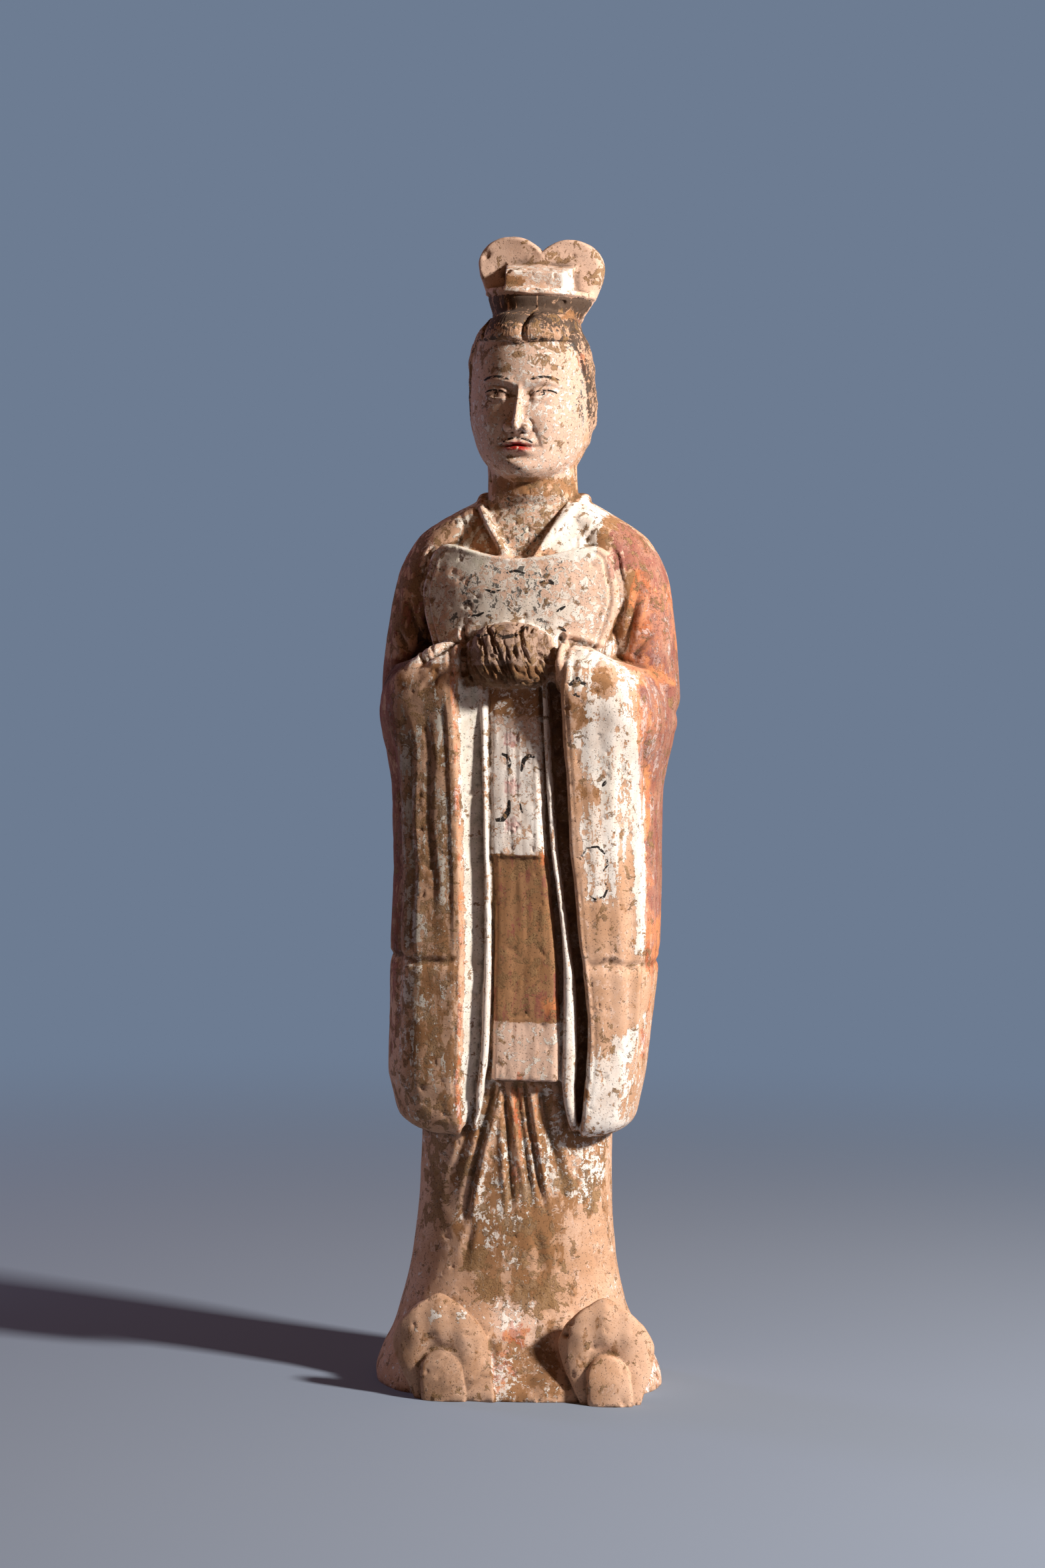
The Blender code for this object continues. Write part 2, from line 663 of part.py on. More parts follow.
def posed(points):
    """Each height turned about the upright axis and swayed to the side, and the cap tilted down at +X."""
    x, y, z = points.T
    angles = np.radians(np.interp(z, TURN_LEVELS, TURNS))
    sways = np.interp(z, SWAY_LEVELS, SWAYS)
    c, s = np.cos(angles), np.sin(angles)
    tilt = CAP_TILT * (x + LOBE_MIDDLE) * fade(z, CAP_FOOT, CAP_FOOT + 30)
    return np.column_stack([x * c - y * s + sways, x * s + y * c, z - tilt])


def mesh_of(name, form):
    """A Blender mesh from points in UNITs and faces."""
    points, faces = form
    mesh = bpy.data.meshes.new(name)
    mesh.from_pydata((points * UNIT).tolist(), [], faces)
    mesh.update()
    return mesh


def fused(name, pieces):
    """One object whose skin runs round all the pieces together."""
    everything = bmesh.new()
    for piece in pieces:
        mesh = mesh_of("piece", piece)
        everything.from_mesh(mesh)
        bpy.data.meshes.remove(mesh)
    bmesh.ops.recalc_face_normals(everything, faces=everything.faces)
    mesh = bpy.data.meshes.new(name)
    everything.to_mesh(mesh)
    everything.free()
    figure = bpy.data.objects.new(name, mesh)
    bpy.context.scene.collection.objects.link(figure)
    remesh = figure.modifiers.new("fuse", "REMESH")
    remesh.mode = "VOXEL"
    remesh.voxel_size = GRAIN * UNIT
    soften = figure.modifiers.new("soften", "SMOOTH")
    soften.factor = 0.4
    soften.iterations = 2
    return figure


def settle(figure):
    """The figure's modifiers worked into its mesh."""
    graph = bpy.context.evaluated_depsgraph_get()
    mesh = bpy.data.meshes.new_from_object(figure.evaluated_get(graph))
    figure.modifiers.clear()
    figure.data = mesh


def read_skin(mesh):
    """Points in UNITs and outward normals of a mesh."""
    count = len(mesh.vertices)
    points, normals = np.zeros(count * 3, np.float32), np.zeros(count * 3, np.float32)
    mesh.vertices.foreach_get("co", points)
    mesh.vertex_normals.foreach_get("vector", normals)
    return points.reshape(-1, 3).astype(float) / UNIT, normals.reshape(-1, 3).astype(float)


def line_distance(points, path):
    """How far each point's x and z lie from a chain of straight runs, and how far along the chain, 0 to 1."""
    spots = points[:, [0, 2]]
    path = np.array(path, float)
    lengths = np.linalg.norm(np.diff(path, axis=0), axis=1)
    starts = np.concatenate([[0], np.cumsum(lengths)])
    best, along = np.full(len(spots), np.inf), np.zeros(len(spots))
    for a, b, start, length in zip(path[:-1], path[1:], starts, lengths):
        t = np.clip(((spots - a) @ (b - a)) / length**2, 0, 1)
        distance = np.linalg.norm(spots - (a + t[:, None] * (b - a)), axis=1)
        nearer = distance < best
        best = np.where(nearer, distance, best)
        along = np.where(nearer, (start + t * length) / starts[-1], along)
    return best, along


def fold(points, path, width, depth, start=0.12, end=0.3):
    """A pressed fold: a groove along the path that fades out at its ends, with a soft ridge on both sides."""
    distance, along = line_distance(points, path)
    taper = fade(along, 0, start) * (1 - fade(along, 1 - end, 1))
    groove = np.exp(-((distance / width) ** 2))
    ridges = np.exp(-(((distance - 2.0 * width) / width) ** 2))
    return taper * depth * (0.5 * ridges - groove)


def in_front(points, normals):
    """1 where the skin is on the figure's front and looks forward."""
    return fade(-normals[:, 1], -0.1, 0.25) * fade(-points[:, 1], 5, 25)


def skirt_folds(points):
    """Pleats that fan out below the apron and die away above the shoes."""
    folds = (
        ([(-15, 244), (-25, 204), (-32, 169), (-38, 124)], 4.0, 3.4),
        ([(-1, 246), (-9, 204), (-17, 172), (-29, 132)], 3.2, 2.8),
        ([(5, 246), (4, 204), (9, 114)], 3.8, 3.2),
        ([(14, 246), (18, 194), (22, 162), (28, 142)], 3.8, 4.0),
        ([(24, 240), (30, 200), (41, 164)], 4.4, 3.0),
    )
    pressed = [fold(points, *f, start=0.05) for f in folds]
    total = np.minimum.reduce(pressed) + np.maximum.reduce(pressed)
    return total * (1 - fade(points[:, 2], 242, 250))


def sleeve_folds(points, normals):
    """Upright flutes down each sleeve, and the level crease where the mould's halves were joined."""
    x, _, z = points.T
    flutes = (
        ([(-101, 519), (-95, 444), (-96, 349), (-93, 244)], 4.0, 2.6),
        ([(-86, 539), (-82, 454), (-84, 349), (-82, 239)], 4.6, 2.8),
        ([(-64, 549), (-62, 454), (-66, 349), (-68, 229)], 4.2, 2.8),
        ([(-51, 549), (-50, 454), (-53, 349), (-56, 239)], 3.2, 2.0),
        ([(56, 549), (56, 454), (60, 354), (62, 239)], 5.0, 1.2),
        ([(72, 549), (69, 454), (74, 354), (77, 239)], 5.0, 1.4),
        ([(88, 539), (83, 454), (88, 354), (88, 239)], 4.6, 1.6),
        ([(103, 514), (98, 444), (100, 349), (97, 244)], 4.0, 3.0),
    )
    facing = fade(-normals[:, 1], -0.35, 0.1) * fade(np.abs(x), 43, 47)
    flute = sum(fold(points, *f, start=0.1, end=0.12) for f in flutes) * facing
    outer = fade(np.abs(x), 47, 52)
    crease = np.exp(-(((z - CREASE_LEVEL - 1.5 * np.sin(x / 9)) / 2.8) ** 2))
    return flute - 1.8 * crease * outer


def arm_folds(points):
    """Folds that run from the bend of each elbow up the sleeve."""
    side = np.column_stack([np.abs(points[:, 0]), points[:, 1:]])
    folds = (
        ([(80, 584), (86, 606), (93, 636)], 4.2, 3.2),
        ([(86, 578), (96, 590), (108, 600)], 3.6, 2.6),
        ([(98, 608), (101, 624), (101, 644)], 4.0, 1.6),
    )
    return sum(fold(side, *f, start=0.2, end=0.45) for f in folds) * fade(side[:, 0], 66, 74)


def neckline(points):
    """The hollow inside the crossed lapels."""
    x, _, z = points.T
    rise = np.clip((z - NECKLINE_FOOT) / (NECKLINE_TOP - NECKLINE_FOOT), 0, 1.2)
    inside = 3 + (NECKLINE_HALF_WIDTH - 9) * rise - np.abs(x)
    level = fade(z, NECKLINE_FOOT - 2, NECKLINE_FOOT + 8) * (1 - fade(z, NECKLINE_TOP - 10, NECKLINE_TOP + 2))
    return -3.0 * fade(inside, -2, 4) * level


def back_folds(points, normals):
    """Shallow upright folds down the back of the robe."""
    x, y, z = points.T
    behind = fade(normals[:, 1], 0.1, 0.5) * fade(y, 10, 30)
    below = (1 - fade(z, BACK_FOLDS_TOP - 35, BACK_FOLDS_TOP)) * fade(z, 15, 60)
    sway = 5 * np.sin(z / 90)
    return 1.5 * np.cos((x + sway) / 7.5) * behind * below


def brow(x, z):
    """The brow, the hollows of the eyes and the closed curve of the lids."""
    side = np.abs(x)
    arch = EYE_LEVEL + 9.5 - 2.2 * ((side - 17) / 13) ** 2
    ridge = 1.8 * np.exp(-(((z - arch) / 3.6) ** 2)) * np.exp(-(((side - 17) / 15) ** 4))
    socket = -4.6 * np.exp(-(((side - 17) / 11.5) ** 2) - ((z - EYE_LEVEL - 1) / 6.5) ** 2)
    lids = 4.2 * np.exp(-(((side - 17.5) / 8.5) ** 4) - ((z - EYE_LEVEL) / 3.8) ** 2)
    return ridge + socket + lids


def mouth(x, z):
    """Both lips, the line between them and the chin."""
    line = MOUTH_LEVEL + 0.8 * np.cos(x / 4.5) * np.exp(-((x / 9) ** 2))
    upper = 2.2 * np.exp(-((x / 11) ** 4)) * np.exp(-(((z - line - 2.8) / 2.3) ** 2))
    lower = 2.6 * np.exp(-((x / 9) ** 4)) * np.exp(-(((z - line + 3.2) / 2.6) ** 2))
    parting = -1.8 * np.exp(-((x / 13) ** 4)) * np.exp(-(((z - line) / 1.2) ** 2))
    under = -1.8 * np.exp(-((x / 11) ** 2) - ((z - MOUTH_LEVEL + 8.5) / 3) ** 2)
    chin = 3.2 * np.exp(-((x / 12) ** 2) - ((z - CHIN_LEVEL - 8) / 7) ** 2)
    return upper + lower + parting + under + chin


def face(points, normals):
    """How far the face stands forward of the plain head: brow, lids, lips, chin and cheeks."""
    x, _, z = points.T
    cheeks = 2.0 * np.exp(-(((np.abs(x) - 24) / 10) ** 2) - ((z - NOSE_LEVEL - 6) / 11) ** 2)
    level = fade(z, CHIN_LEVEL - 6, CHIN_LEVEL + 4) * (1 - fade(z, FOREHEAD_LEVEL, FOREHEAD_LEVEL + 12))
    return (brow(x, z) + mouth(x, z) + cheeks) * level * fade(-normals[:, 1], 0.2, 0.6)


def hair_step(points):
    """The hair's edge: it stands a little proud of the skin above the forehead and behind the temples."""
    x, y, z = points.T
    on_top = z - HAIRLINE_LEVEL + 3.5 * np.exp(-((x / 8) ** 2))
    at_side = y - TEMPLE_Y + 0.35 * (z - TEMPLE_LEVEL)
    edge = np.where(at_side > 0, at_side, np.maximum(on_top, at_side))
    below_cap = fade(z, HAIR_FOOT, HAIR_FOOT + 8) * (1 - fade(z, CAP_FOOT, CAP_FOOT + 4))
    step = 1.6 * fade(edge, -1.5, 1.5) * below_cap
    parting = np.exp(-((x / 3.5) ** 2)) * fade(z, HAIRLINE_LEVEL, HAIRLINE_LEVEL + 5) * fade(-y, 25, 40)
    return step - 4.5 * parting * (1 - fade(z, CAP_FOOT + 2, CAP_FOOT + 8))


def press(mesh):
    """Every fold and feature pressed into the fused skin, and the figure posed."""
    points, normals = read_skin(mesh)
    forward = in_front(points, normals)
    heights = (skirt_folds(points) + arm_folds(points)) * forward
    heights += sleeve_folds(points, normals) + back_folds(points, normals) + hair_step(points)
    moved = points + normals * heights[:, None]
    moved[:, 1] -= face(points, normals) + neckline(points) * forward
    mesh.vertices.foreach_set("co", (posed(moved) * UNIT).astype(np.float32).ravel())
    mesh.update()


def thin_out(figure):
    """Fewer faces, most of them kept where the skin bends most."""
    count = sum(len(face.vertices) - 2 for face in figure.data.polygons)
    reduce = figure.modifiers.new("thin out", "DECIMATE")
    reduce.ratio = min(1.0, SKIN_TRIANGLES / count)


def cut_foot(figure):
    """The underside cut flat at z = 0."""
    skin = bmesh.new()
    skin.from_mesh(figure.data)
    everything = skin.verts[:] + skin.edges[:] + skin.faces[:]
    bmesh.ops.bisect_plane(
        skin, geom=everything, dist=1e-6, plane_co=(0, 0, 0), plane_no=(0, 0, 1), clear_inner=True
    )
    rim = [edge for edge in skin.edges if edge.is_boundary]
    bmesh.ops.contextual_create(skin, geom=rim)
    bmesh.ops.triangulate(skin, faces=skin.faces)
    bmesh.ops.recalc_face_normals(skin, faces=skin.faces)
    skin.to_mesh(figure.data)
    skin.free()


def clay():
    """Fired clay."""
    material = bpy.data.materials.new("terracotta")
    material.use_nodes = True
    shader = material.node_tree.nodes["Principled BSDF"]
    shader.inputs["Base Color"].default_value = CLAY_COLOUR
    shader.inputs["Roughness"].default_value = 0.85
    shader.inputs["Metallic"].default_value = 0.0
    return material


def main():
    for obj in list(bpy.data.objects):
        bpy.data.objects.remove(obj)
    figure = fused("court_official_figure", forms())
    settle(figure)
    press(figure.data)
    thin_out(figure)
    settle(figure)
    cut_foot(figure)
    figure.data.materials.append(clay())
    figure.data.shade_smooth()


main()
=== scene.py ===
"""The looks of a terracotta court official: a moulded tomb figure with worn slip, paint and burial earth.

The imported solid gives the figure's place and size. Its finer form is built here in the same way as the solid:
closed forms are fused into one skin, and folds, features, chips and wear are pressed into that skin. What is
left of each coat of paint is written on the skin's points, and one material breaks those coats up.
Every size below counts in UNITs, the figure's height being TOP_LEVEL of them. The figure faces -Y.
"""

import math

import bmesh
import bpy
import numpy as np
from mathutils import Matrix, Vector

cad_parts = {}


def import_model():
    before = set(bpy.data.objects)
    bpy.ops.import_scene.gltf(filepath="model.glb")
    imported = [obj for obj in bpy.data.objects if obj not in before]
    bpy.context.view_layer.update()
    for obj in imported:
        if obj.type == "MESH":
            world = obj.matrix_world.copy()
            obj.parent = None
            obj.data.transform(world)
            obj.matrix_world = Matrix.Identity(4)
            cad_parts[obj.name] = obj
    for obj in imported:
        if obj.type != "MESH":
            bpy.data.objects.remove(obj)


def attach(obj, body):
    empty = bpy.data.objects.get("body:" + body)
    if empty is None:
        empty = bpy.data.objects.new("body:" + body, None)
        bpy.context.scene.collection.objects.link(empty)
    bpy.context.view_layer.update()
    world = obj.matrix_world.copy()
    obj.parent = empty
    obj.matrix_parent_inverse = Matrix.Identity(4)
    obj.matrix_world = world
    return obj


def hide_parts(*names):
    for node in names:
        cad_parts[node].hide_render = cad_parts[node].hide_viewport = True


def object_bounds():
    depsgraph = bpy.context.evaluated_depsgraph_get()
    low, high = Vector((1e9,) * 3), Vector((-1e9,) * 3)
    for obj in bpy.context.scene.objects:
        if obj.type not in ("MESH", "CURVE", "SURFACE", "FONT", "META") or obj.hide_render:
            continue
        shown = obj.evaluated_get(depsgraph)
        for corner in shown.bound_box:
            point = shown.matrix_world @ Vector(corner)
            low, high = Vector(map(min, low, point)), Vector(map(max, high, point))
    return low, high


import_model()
CAD_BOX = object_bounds()
NODE = "court_official_figure"

TOP_LEVEL = 908
UNIT = (CAD_BOX[1].z - CAD_BOX[0].z) / TOP_LEVEL

# How finely the skin is fused and kept.
GRAIN = 1.35
SKIN_TRIANGLES = 180000
RING_POINTS = 144
RING_SPACING = 2.5

# The main half widths of the figure and the places along its height.
HEM_HALF_WIDTH = 114
WAIST_HALF_WIDTH = 76
ELBOW_HALF_WIDTH = 120
HEAD_HALF_WIDTH = 47.5
CAP_HALF_WIDTH = 51.6
SLEEVE_FOOT = 201
SLEEVE_TOP = 596
CREASE_LEVEL = 339
HAND_LEVEL = 576
CHIN_LEVEL = 716
HAIRLINE_LEVEL = 822
CAP_FOOT = 840
BELOW_FOOT = 12

# The body turns a little about its upright axis, in degrees, and sways to the side, at each height.
TURN_LEVELS = (0, 60, 209, 269, 344, 426, 579, 744, 854)
TURNS = (8, 8, 6.5, 5.5, 2, -2, -5, -5, -1.5)
SWAY_LEVELS = (0, 60, 154, 204, 244, 334, 404, 484, 560, 700, 735, 795, 815, 832, 843, 862)
SWAYS = (0, -5.5, -5.5, -5.3, -6.6, -1.8, 0, -1.5, -3, -1.2, -3, -3.8, -5.2, -5, -2.2, 0.2)

# The robe under everything: height, half width, depth in front, depth behind.
ROBE = (
    (-BELOW_FOOT, HEM_HALF_WIDTH, 101, 84),
    (5, HEM_HALF_WIDTH, 100, 84),
    (13, HEM_HALF_WIDTH - 2, 95, 82),
    (24, 107, 86, 77),
    (42, 97, 74, 69),
    (65, 88.8, 64, 62),
    (100, 81.2, 57, 58),
    (149, WAIST_HALF_WIDTH + 0.8, 55, 57),
    (194, WAIST_HALF_WIDTH, 59, 58),
    (304, 79, 64, 61),
    (454, 82, 62, 62),
    (564, 85, 56, 61),
    (624, 85, 51, 60),
    (654, 78, 48, 56),
    (676, 62, 43, 50),
    (692, 48, 38, 44),
    (701, 38, 31, 38),
    (706, 32, 26, 34),
)
ROBE_SQUARENESS = 2.4

# One upper arm with its shoulder: height, middle, half width, depth in front, depth behind.
ARM = (
    (528, 98, 16, 20, 36),
    (546, 97, ELBOW_HALF_WIDTH - 97, 26, 43),
    (576, 93, 24.5, 31, 50),
    (614, 85, 27.4, 39, 53),
    (642, 77, 30, 40, 52),
    (661, 67, 30.8, 38, 49),
    (671, 59.6, 30.8, 36, 46),
    (680, 50, 28.0, 34, 42),
    (690, 40, 20.5, 30, 35),
    (698, 34, 12, 22, 26),
)

# One forearm inside its sleeve: x, y, z and radius from elbow to cuff.
FOREARM = (
    (98, 4, 527, 20),
    (88, -28, 539, 21.5),
    (68, -52, 555, 22.5),
    (54, -62, 564, 22),
)

# The clasped hands: height about HAND_LEVEL, half width, depth in front.
HANDS = (
    (-24, 24, 82),
    (-20, 34, 90),
    (-11, 41, 96),
    (4, 41.5, 97),
    (13, 39.5, 94),
    (20, 34, 88),
    (25, 24, 80),
    (27, 12, 74),
)

# One hanging sleeve: height, inner edge, outer edge, depth in front, depth behind, slope of the ring.
SLEEVE = (
    (SLEEVE_FOOT, 45, 74, 58, -22, 0),
    (SLEEVE_FOOT + 4, 43, 85.5, 67, 4, 0),
    (214, 42, 95, 72, 16, 0),
    (230, 42, 99, 75, 24, 0),
    (249, 42, 102.8, 77, 29, 0),
    (294, 42, 104.4, 79, 34, 0),
    (329, 41.5, 106, 80, 37, 0),
    (CREASE_LEVEL, 41.5, 105, 78, 37, 0),
    (352, 41, 106.6, 79, 38, 0),
    (424, 41, 105.5, 78, 40, 0),
    (474, 41, 106.5, 79, 41, -0.10),
    (509, 41, 110.5, 81, 42, -0.30),
    (540, 41, 115, 84, 40, -0.50),
    (562, 41, 117, 87, 36, -0.58),
    (580, 39.5, 115, 87, 24, -0.60),
    (590, 38.5, 110, 83, 4, -0.60),
    (SLEEVE_TOP, 39, 104, 75, -22, -0.60),
)

# How square the sleeve's rings are, on the whole and at the edge beside the apron, and how much of its depth
# the front loses toward the outside.
SLEEVE_ROUND = 2.3
SLEEVE_LIP_SQUARENESS = 14.0
SLEEVE_FALL = 0.15

# How much further out the +X sleeve's mouth stands than the other's, by height.
MOUTH_LEVELS = (SLEEVE_FOOT, 214, 249, 294, 329, 360, 424, 490, 509)
MOUTH_SHIFTS = (6, 9, 13.5, 13.5, 10, 6.5, 2.5, 1, 0)

# The back edge of each sleeve's mouth, a thin upright lip, narrow at -X and broad at +X: height, middle,
# half width, depth in front.
MOUTH_TOP = 562
NARROW_LIP = (
    (SLEEVE_FOOT + 5, 34, 3, 64),
    (229, 28, 3.4, 72),
    (264, 24.5, 3.4, 75.5),
    (314, 23.5, 3.2, 76),
    (374, 22.5, 3, 75.5),
    (454, 22, 2.8, 74.5),
    (MOUTH_TOP + 2, 22, 2.8, 72),
)
BROAD_LIP = (
    (SLEEVE_FOOT + 5, 45, 3.5, 64),
    (229, 42.5, 5.5, 71),
    (264, 41.5, 6.5, 73.5),
    (314, 40.5, 5.5, 74),
    (360, 37, 3, 73.5),
    (424, 31, 2.3, 73),
    (490, 27.8, 2.2, 72.5),
    (MOUTH_TOP + 2, 25.5, 2.2, 70),
)

# How far the lining of the mouth at -X slopes back from the front edge to the lip.
LINING_DROP = 12.5

# The long panel between the sleeves, in four lengths from the foot up: height, middle, half width, depth
# in front.
APRON_LENGTHS = (
    ((246, 8.2, 26.8, 72.6), (296, 7.8, 26.6, 71.8)),
    ((293, 7.8, 26.2, 72.6), (424, 2.9, 21.8, 71.6)),
    ((421, 2.9, 21.6, 73.8), (534, 2.2, 20.6, 69.4)),
    ((531, 2.2, 20.4, 70.4), (566, 2, 20.2, 67)),
)
APRON_SQUARENESS = 14.0
APRON_HEM = APRON_LENGTHS[0][0][0]
APRON_BROWN_FOOT = 292
APRON_WHITE_FOOT = 422.5
APRON_HEAD_FOOT = 527

# The head and neck: height, half width, depth in front, depth behind, about HEAD_Y.
HEAD_Y = -9
NECK = ((684, 38, 33, 36), (704, 36, 31, 34), (720, 35.5, 30, 34), (749, 36, 30, 36))
HEAD = (
    (CHIN_LEVEL - 3, 14, 36, -8),
    (CHIN_LEVEL + 1, 22, 43, 8),
    (722, 30.5, 47.5, 22),
    (731, 38, 50.5, 34),
    (744, 43.5, 52, 44),
    (762, 47, 53, 50),
    (784, HEAD_HALF_WIDTH, 53, 53),
    (804, HEAD_HALF_WIDTH, 52.5, 53),
    (820, 44, 50.5, 50),
    (833, 37, 45, 44),
    (842, 32, 38, 37),
    (850, 22, 26, 26),
)
NAPE = (
    (728, 31, 2, 38),
    (735, 40, 4, 46),
    (749, 44, 6, 51),
    (779, 46.5, 10, 54),
    (809, 46.5, 8, 53),
    (824, 43, 6, 49),
)
HAIR = (
    (HAIRLINE_LEVEL - 2, 43, 49, 20),
    (HAIRLINE_LEVEL + 3, 42, 54, 30),
    (HAIRLINE_LEVEL + 9, 38.5, 54, 34),
    (HAIRLINE_LEVEL + 15, 34.5, 50, 34),
    (HAIRLINE_LEVEL + 20, 32, 43, 31),
    (HAIRLINE_LEVEL + 24, 24, 34, 26),
)
HEAD_SQUARENESS = 2.15
TEMPLE_Y = -24
TEMPLE_LEVEL = 784
HAIR_FOOT = 738
PARTING_X = 2
ROLL_HALF_WIDTH = 17
EYE_LEVEL = 780
EYE_X = 18.5
EYE_HALF_WIDTH = 9.8
BROW_LEVEL = 792
NOSE_LEVEL = 751
MOUTH_LEVEL = 739.5
MOUTH_HALF_WIDTH = 13.5

# The nose: height, half width, how far it stands in front of HEAD_Y.
NOSE = (
    (NOSE_LEVEL - 2, 4.6, 55),
    (NOSE_LEVEL, 6.6, 61.5),
    (NOSE_LEVEL + 3.5, 7.4, 65),
    (NOSE_LEVEL + 8, 6.8, 64),
    (EYE_LEVEL - 12, 5.6, 60.5),
    (EYE_LEVEL, 5.0, 56.5),
    (EYE_LEVEL + 9, 6.0, 53.5),
)

# The cap's band round the topknot: height, half width, depth in front, depth behind.
CAP_BAND = (
    (CAP_FOOT - 8, 30, 30, 25),
    (CAP_FOOT, 33, 34, 26),
    (CAP_FOOT + 8, 36.5, 36.5, 24),
    (CAP_FOOT + 18, 41.0, 39, 22),
    (CAP_FOOT + 22, 42.6, 40, 22),
    (CAP_FOOT + 25, 42.6, 39.5, 20),
)
CAP_BOX_HALF_WIDTH = 23.5
CAP_BOX_BACK_HALF_WIDTH = 30
CAP_BOX_FRONT = -34
CAP_BOX_TOP = 878
CAP_BOX_RISE = 11
LOBE_MIDDLE = 24
LOBE_LEVEL = 885
LOBE_FACE = -4
LOBE_BACK = 18
LOBE_FOOT = 872
CAP_TILT = 0.045
LOBE_BEVEL = 6.5

# The vest's chest plate, the plate behind with the folds below it, and the lapels.
PLATE_HALF_WIDTH = 78
PLATE_TOP_HALF_WIDTH = 73
PLATE_FOOT_HALF_WIDTH = 64
PLATE_TOP = 663
PLATE_WAIST = 626
PLATE_FOOT = 572
PLATE_DIP = 10
PLATE_CORNER = 16
PLATE_FRONT = 66
PLATE_EDGE = 4.0
BACK_PLATE_HALF_WIDTH = 62
BACK_PLATE_LEVEL = 615
BACK_PLATE_HALF_HEIGHT = 49
BACK_PLATE_ROOT = 10.0
BACK_PLATE_FACE = 64.5
BACK_LEAN_FOOT = 624
BACK_LEAN_TOP = 672
BACK_FOLDS_TOP = 559
NECKLINE_FOOT = 652
NECKLINE_TOP = 702
NECKLINE_HALF_WIDTH = 34

# One shoe: a tall leaf-shaped toe plate standing in front of the hem, with a tongue in front of it.
SHOE_X = 64.5
SHOE_SHIFT = 5.5
SHOE_HALF_WIDTH = 37.6
SHOE_TOP = 80
SHOE_WIDEST_LEVEL = 43
SHOE_TOE = 98
SHOE_STEP = 5
SHOE_SOLE = 7
TONGUE_HALF_WIDTH = 17
TONGUE_TOP = 38
TONGUE_TOE = 108

# The toe plate at -X is turned: its inner edge stands forward by TOE_REACH, and from there the plate falls
# back by TOE_FALL of its width.
TOE_REACH = 3.8
TOE_FALL = 0.09


def smooth_curve(knots, values, at):
    """Values along a curve through the knots that never swings past them."""
    x, y, at = (np.asarray(a, float) for a in (knots, values, at))
    steps = np.diff(x)
    slopes = np.diff(y) / steps
    same_way = slopes[:-1] * slopes[1:] > 0
    before, after = np.where(same_way, slopes[:-1], 1), np.where(same_way, slopes[1:], 1)
    mean = np.where(same_way, 2 / (1 / before + 1 / after), 0)
    tangents = np.concatenate([slopes[:1], mean, slopes[-1:]])
    i = np.clip(np.searchsorted(x, at) - 1, 0, len(x) - 2)
    t = np.clip((at - x[i]) / steps[i], 0, 1)
    return (
        y[i] * (1 + 2 * t) * (1 - t) ** 2
        + y[i + 1] * t * t * (3 - 2 * t)
        + steps[i] * (tangents[i] * t * (1 - t) ** 2 + tangents[i + 1] * t * t * (t - 1))
    )


def fade(values, start, end):
    """0 at start and 1 at end, with a smooth ramp between."""
    t = np.clip((values - start) / (end - start), 0, 1)
    return t * t * (3 - 2 * t)


def within(values, low, high, softness):
    """1 between low and high, 0 outside, with soft ends."""
    return fade(values, low - softness, low + softness) * (1 - fade(values, high - softness, high + softness))


def bump(values, middle, width):
    """A soft bump of height 1 about the middle."""
    return np.exp(-(((values - middle) / width) ** 2))


def mound(across, width, up, height):
    """A soft round bump of height 1, from how far each point lies across and up from its middle."""
    return np.exp(-((across / width) ** 2) - (up / height) ** 2)


def lattice_noise(points, size, seed):
    """Smooth noise from -1 to 1 whose features are about size across. The size may differ along each axis."""
    cells = points / np.array(size, float) + seed * 17.31
    base = np.floor(cells).astype(np.int64)
    part = cells - base
    part = part * part * (3 - 2 * part)
    total = np.zeros(len(points))
    for corner in range(8):
        step = np.array([(corner >> axis) & 1 for axis in range(3)])
        spot = (base + step) * (73856093, 19349663, 83492791)
        code = spot[:, 0] ^ spot[:, 1] ^ (spot[:, 2] + seed * 97)
        code = (code ^ (code >> 13)) * 1274126177
        value = ((code ^ (code >> 16)) & 0xFFFF) / 32767.5 - 1
        total += np.prod(np.where(step, part, 1 - part), axis=1) * value
    return total


def cloudy(points, size, seed, octaves=3):
    """Layered noise from about -1 to 1, each layer half the size and 0.55 of the strength."""
    size = np.array(size, float)
    total, strength, weight = 0, 1.0, 0.0
    for layer in range(octaves):
        total = total + strength * lattice_noise(points, size / 2**layer, seed + layer)
        weight += strength
        strength *= 0.55
    return total / weight * 1.6


def heights_through(table):
    """Evenly spaced heights from the first row of a table to its last."""
    low, high = table[0][0], table[-1][0]
    return np.linspace(low, high, max(4, round((high - low) / RING_SPACING) + 1))


def columns_at(table, heights):
    """Each column of a table after the first, read at the given heights."""
    rows = np.array(table, float)
    return [smooth_curve(rows[:, 0], rows[:, i], heights) for i in range(1, rows.shape[1])]


def ring(half_width, front, back, squareness, inner_squareness=None):
    """One level outline about its middle, from +X round by the back. A second squareness shapes the quarter
    that lies in front on the inner side, at -X."""
    angles = np.linspace(0, 2 * math.pi, RING_POINTS, endpoint=False)
    c, s = np.cos(angles), np.sin(angles)
    power = np.full(RING_POINTS, 2 / squareness)
    if inner_squareness:
        power[(c < 0) & (s < 0)] = 2 / inner_squareness
    x = half_width * np.sign(c) * np.abs(c) ** power
    y = np.where(s > 0, back, front) * np.sign(s) * np.abs(s) ** power
    return x, y


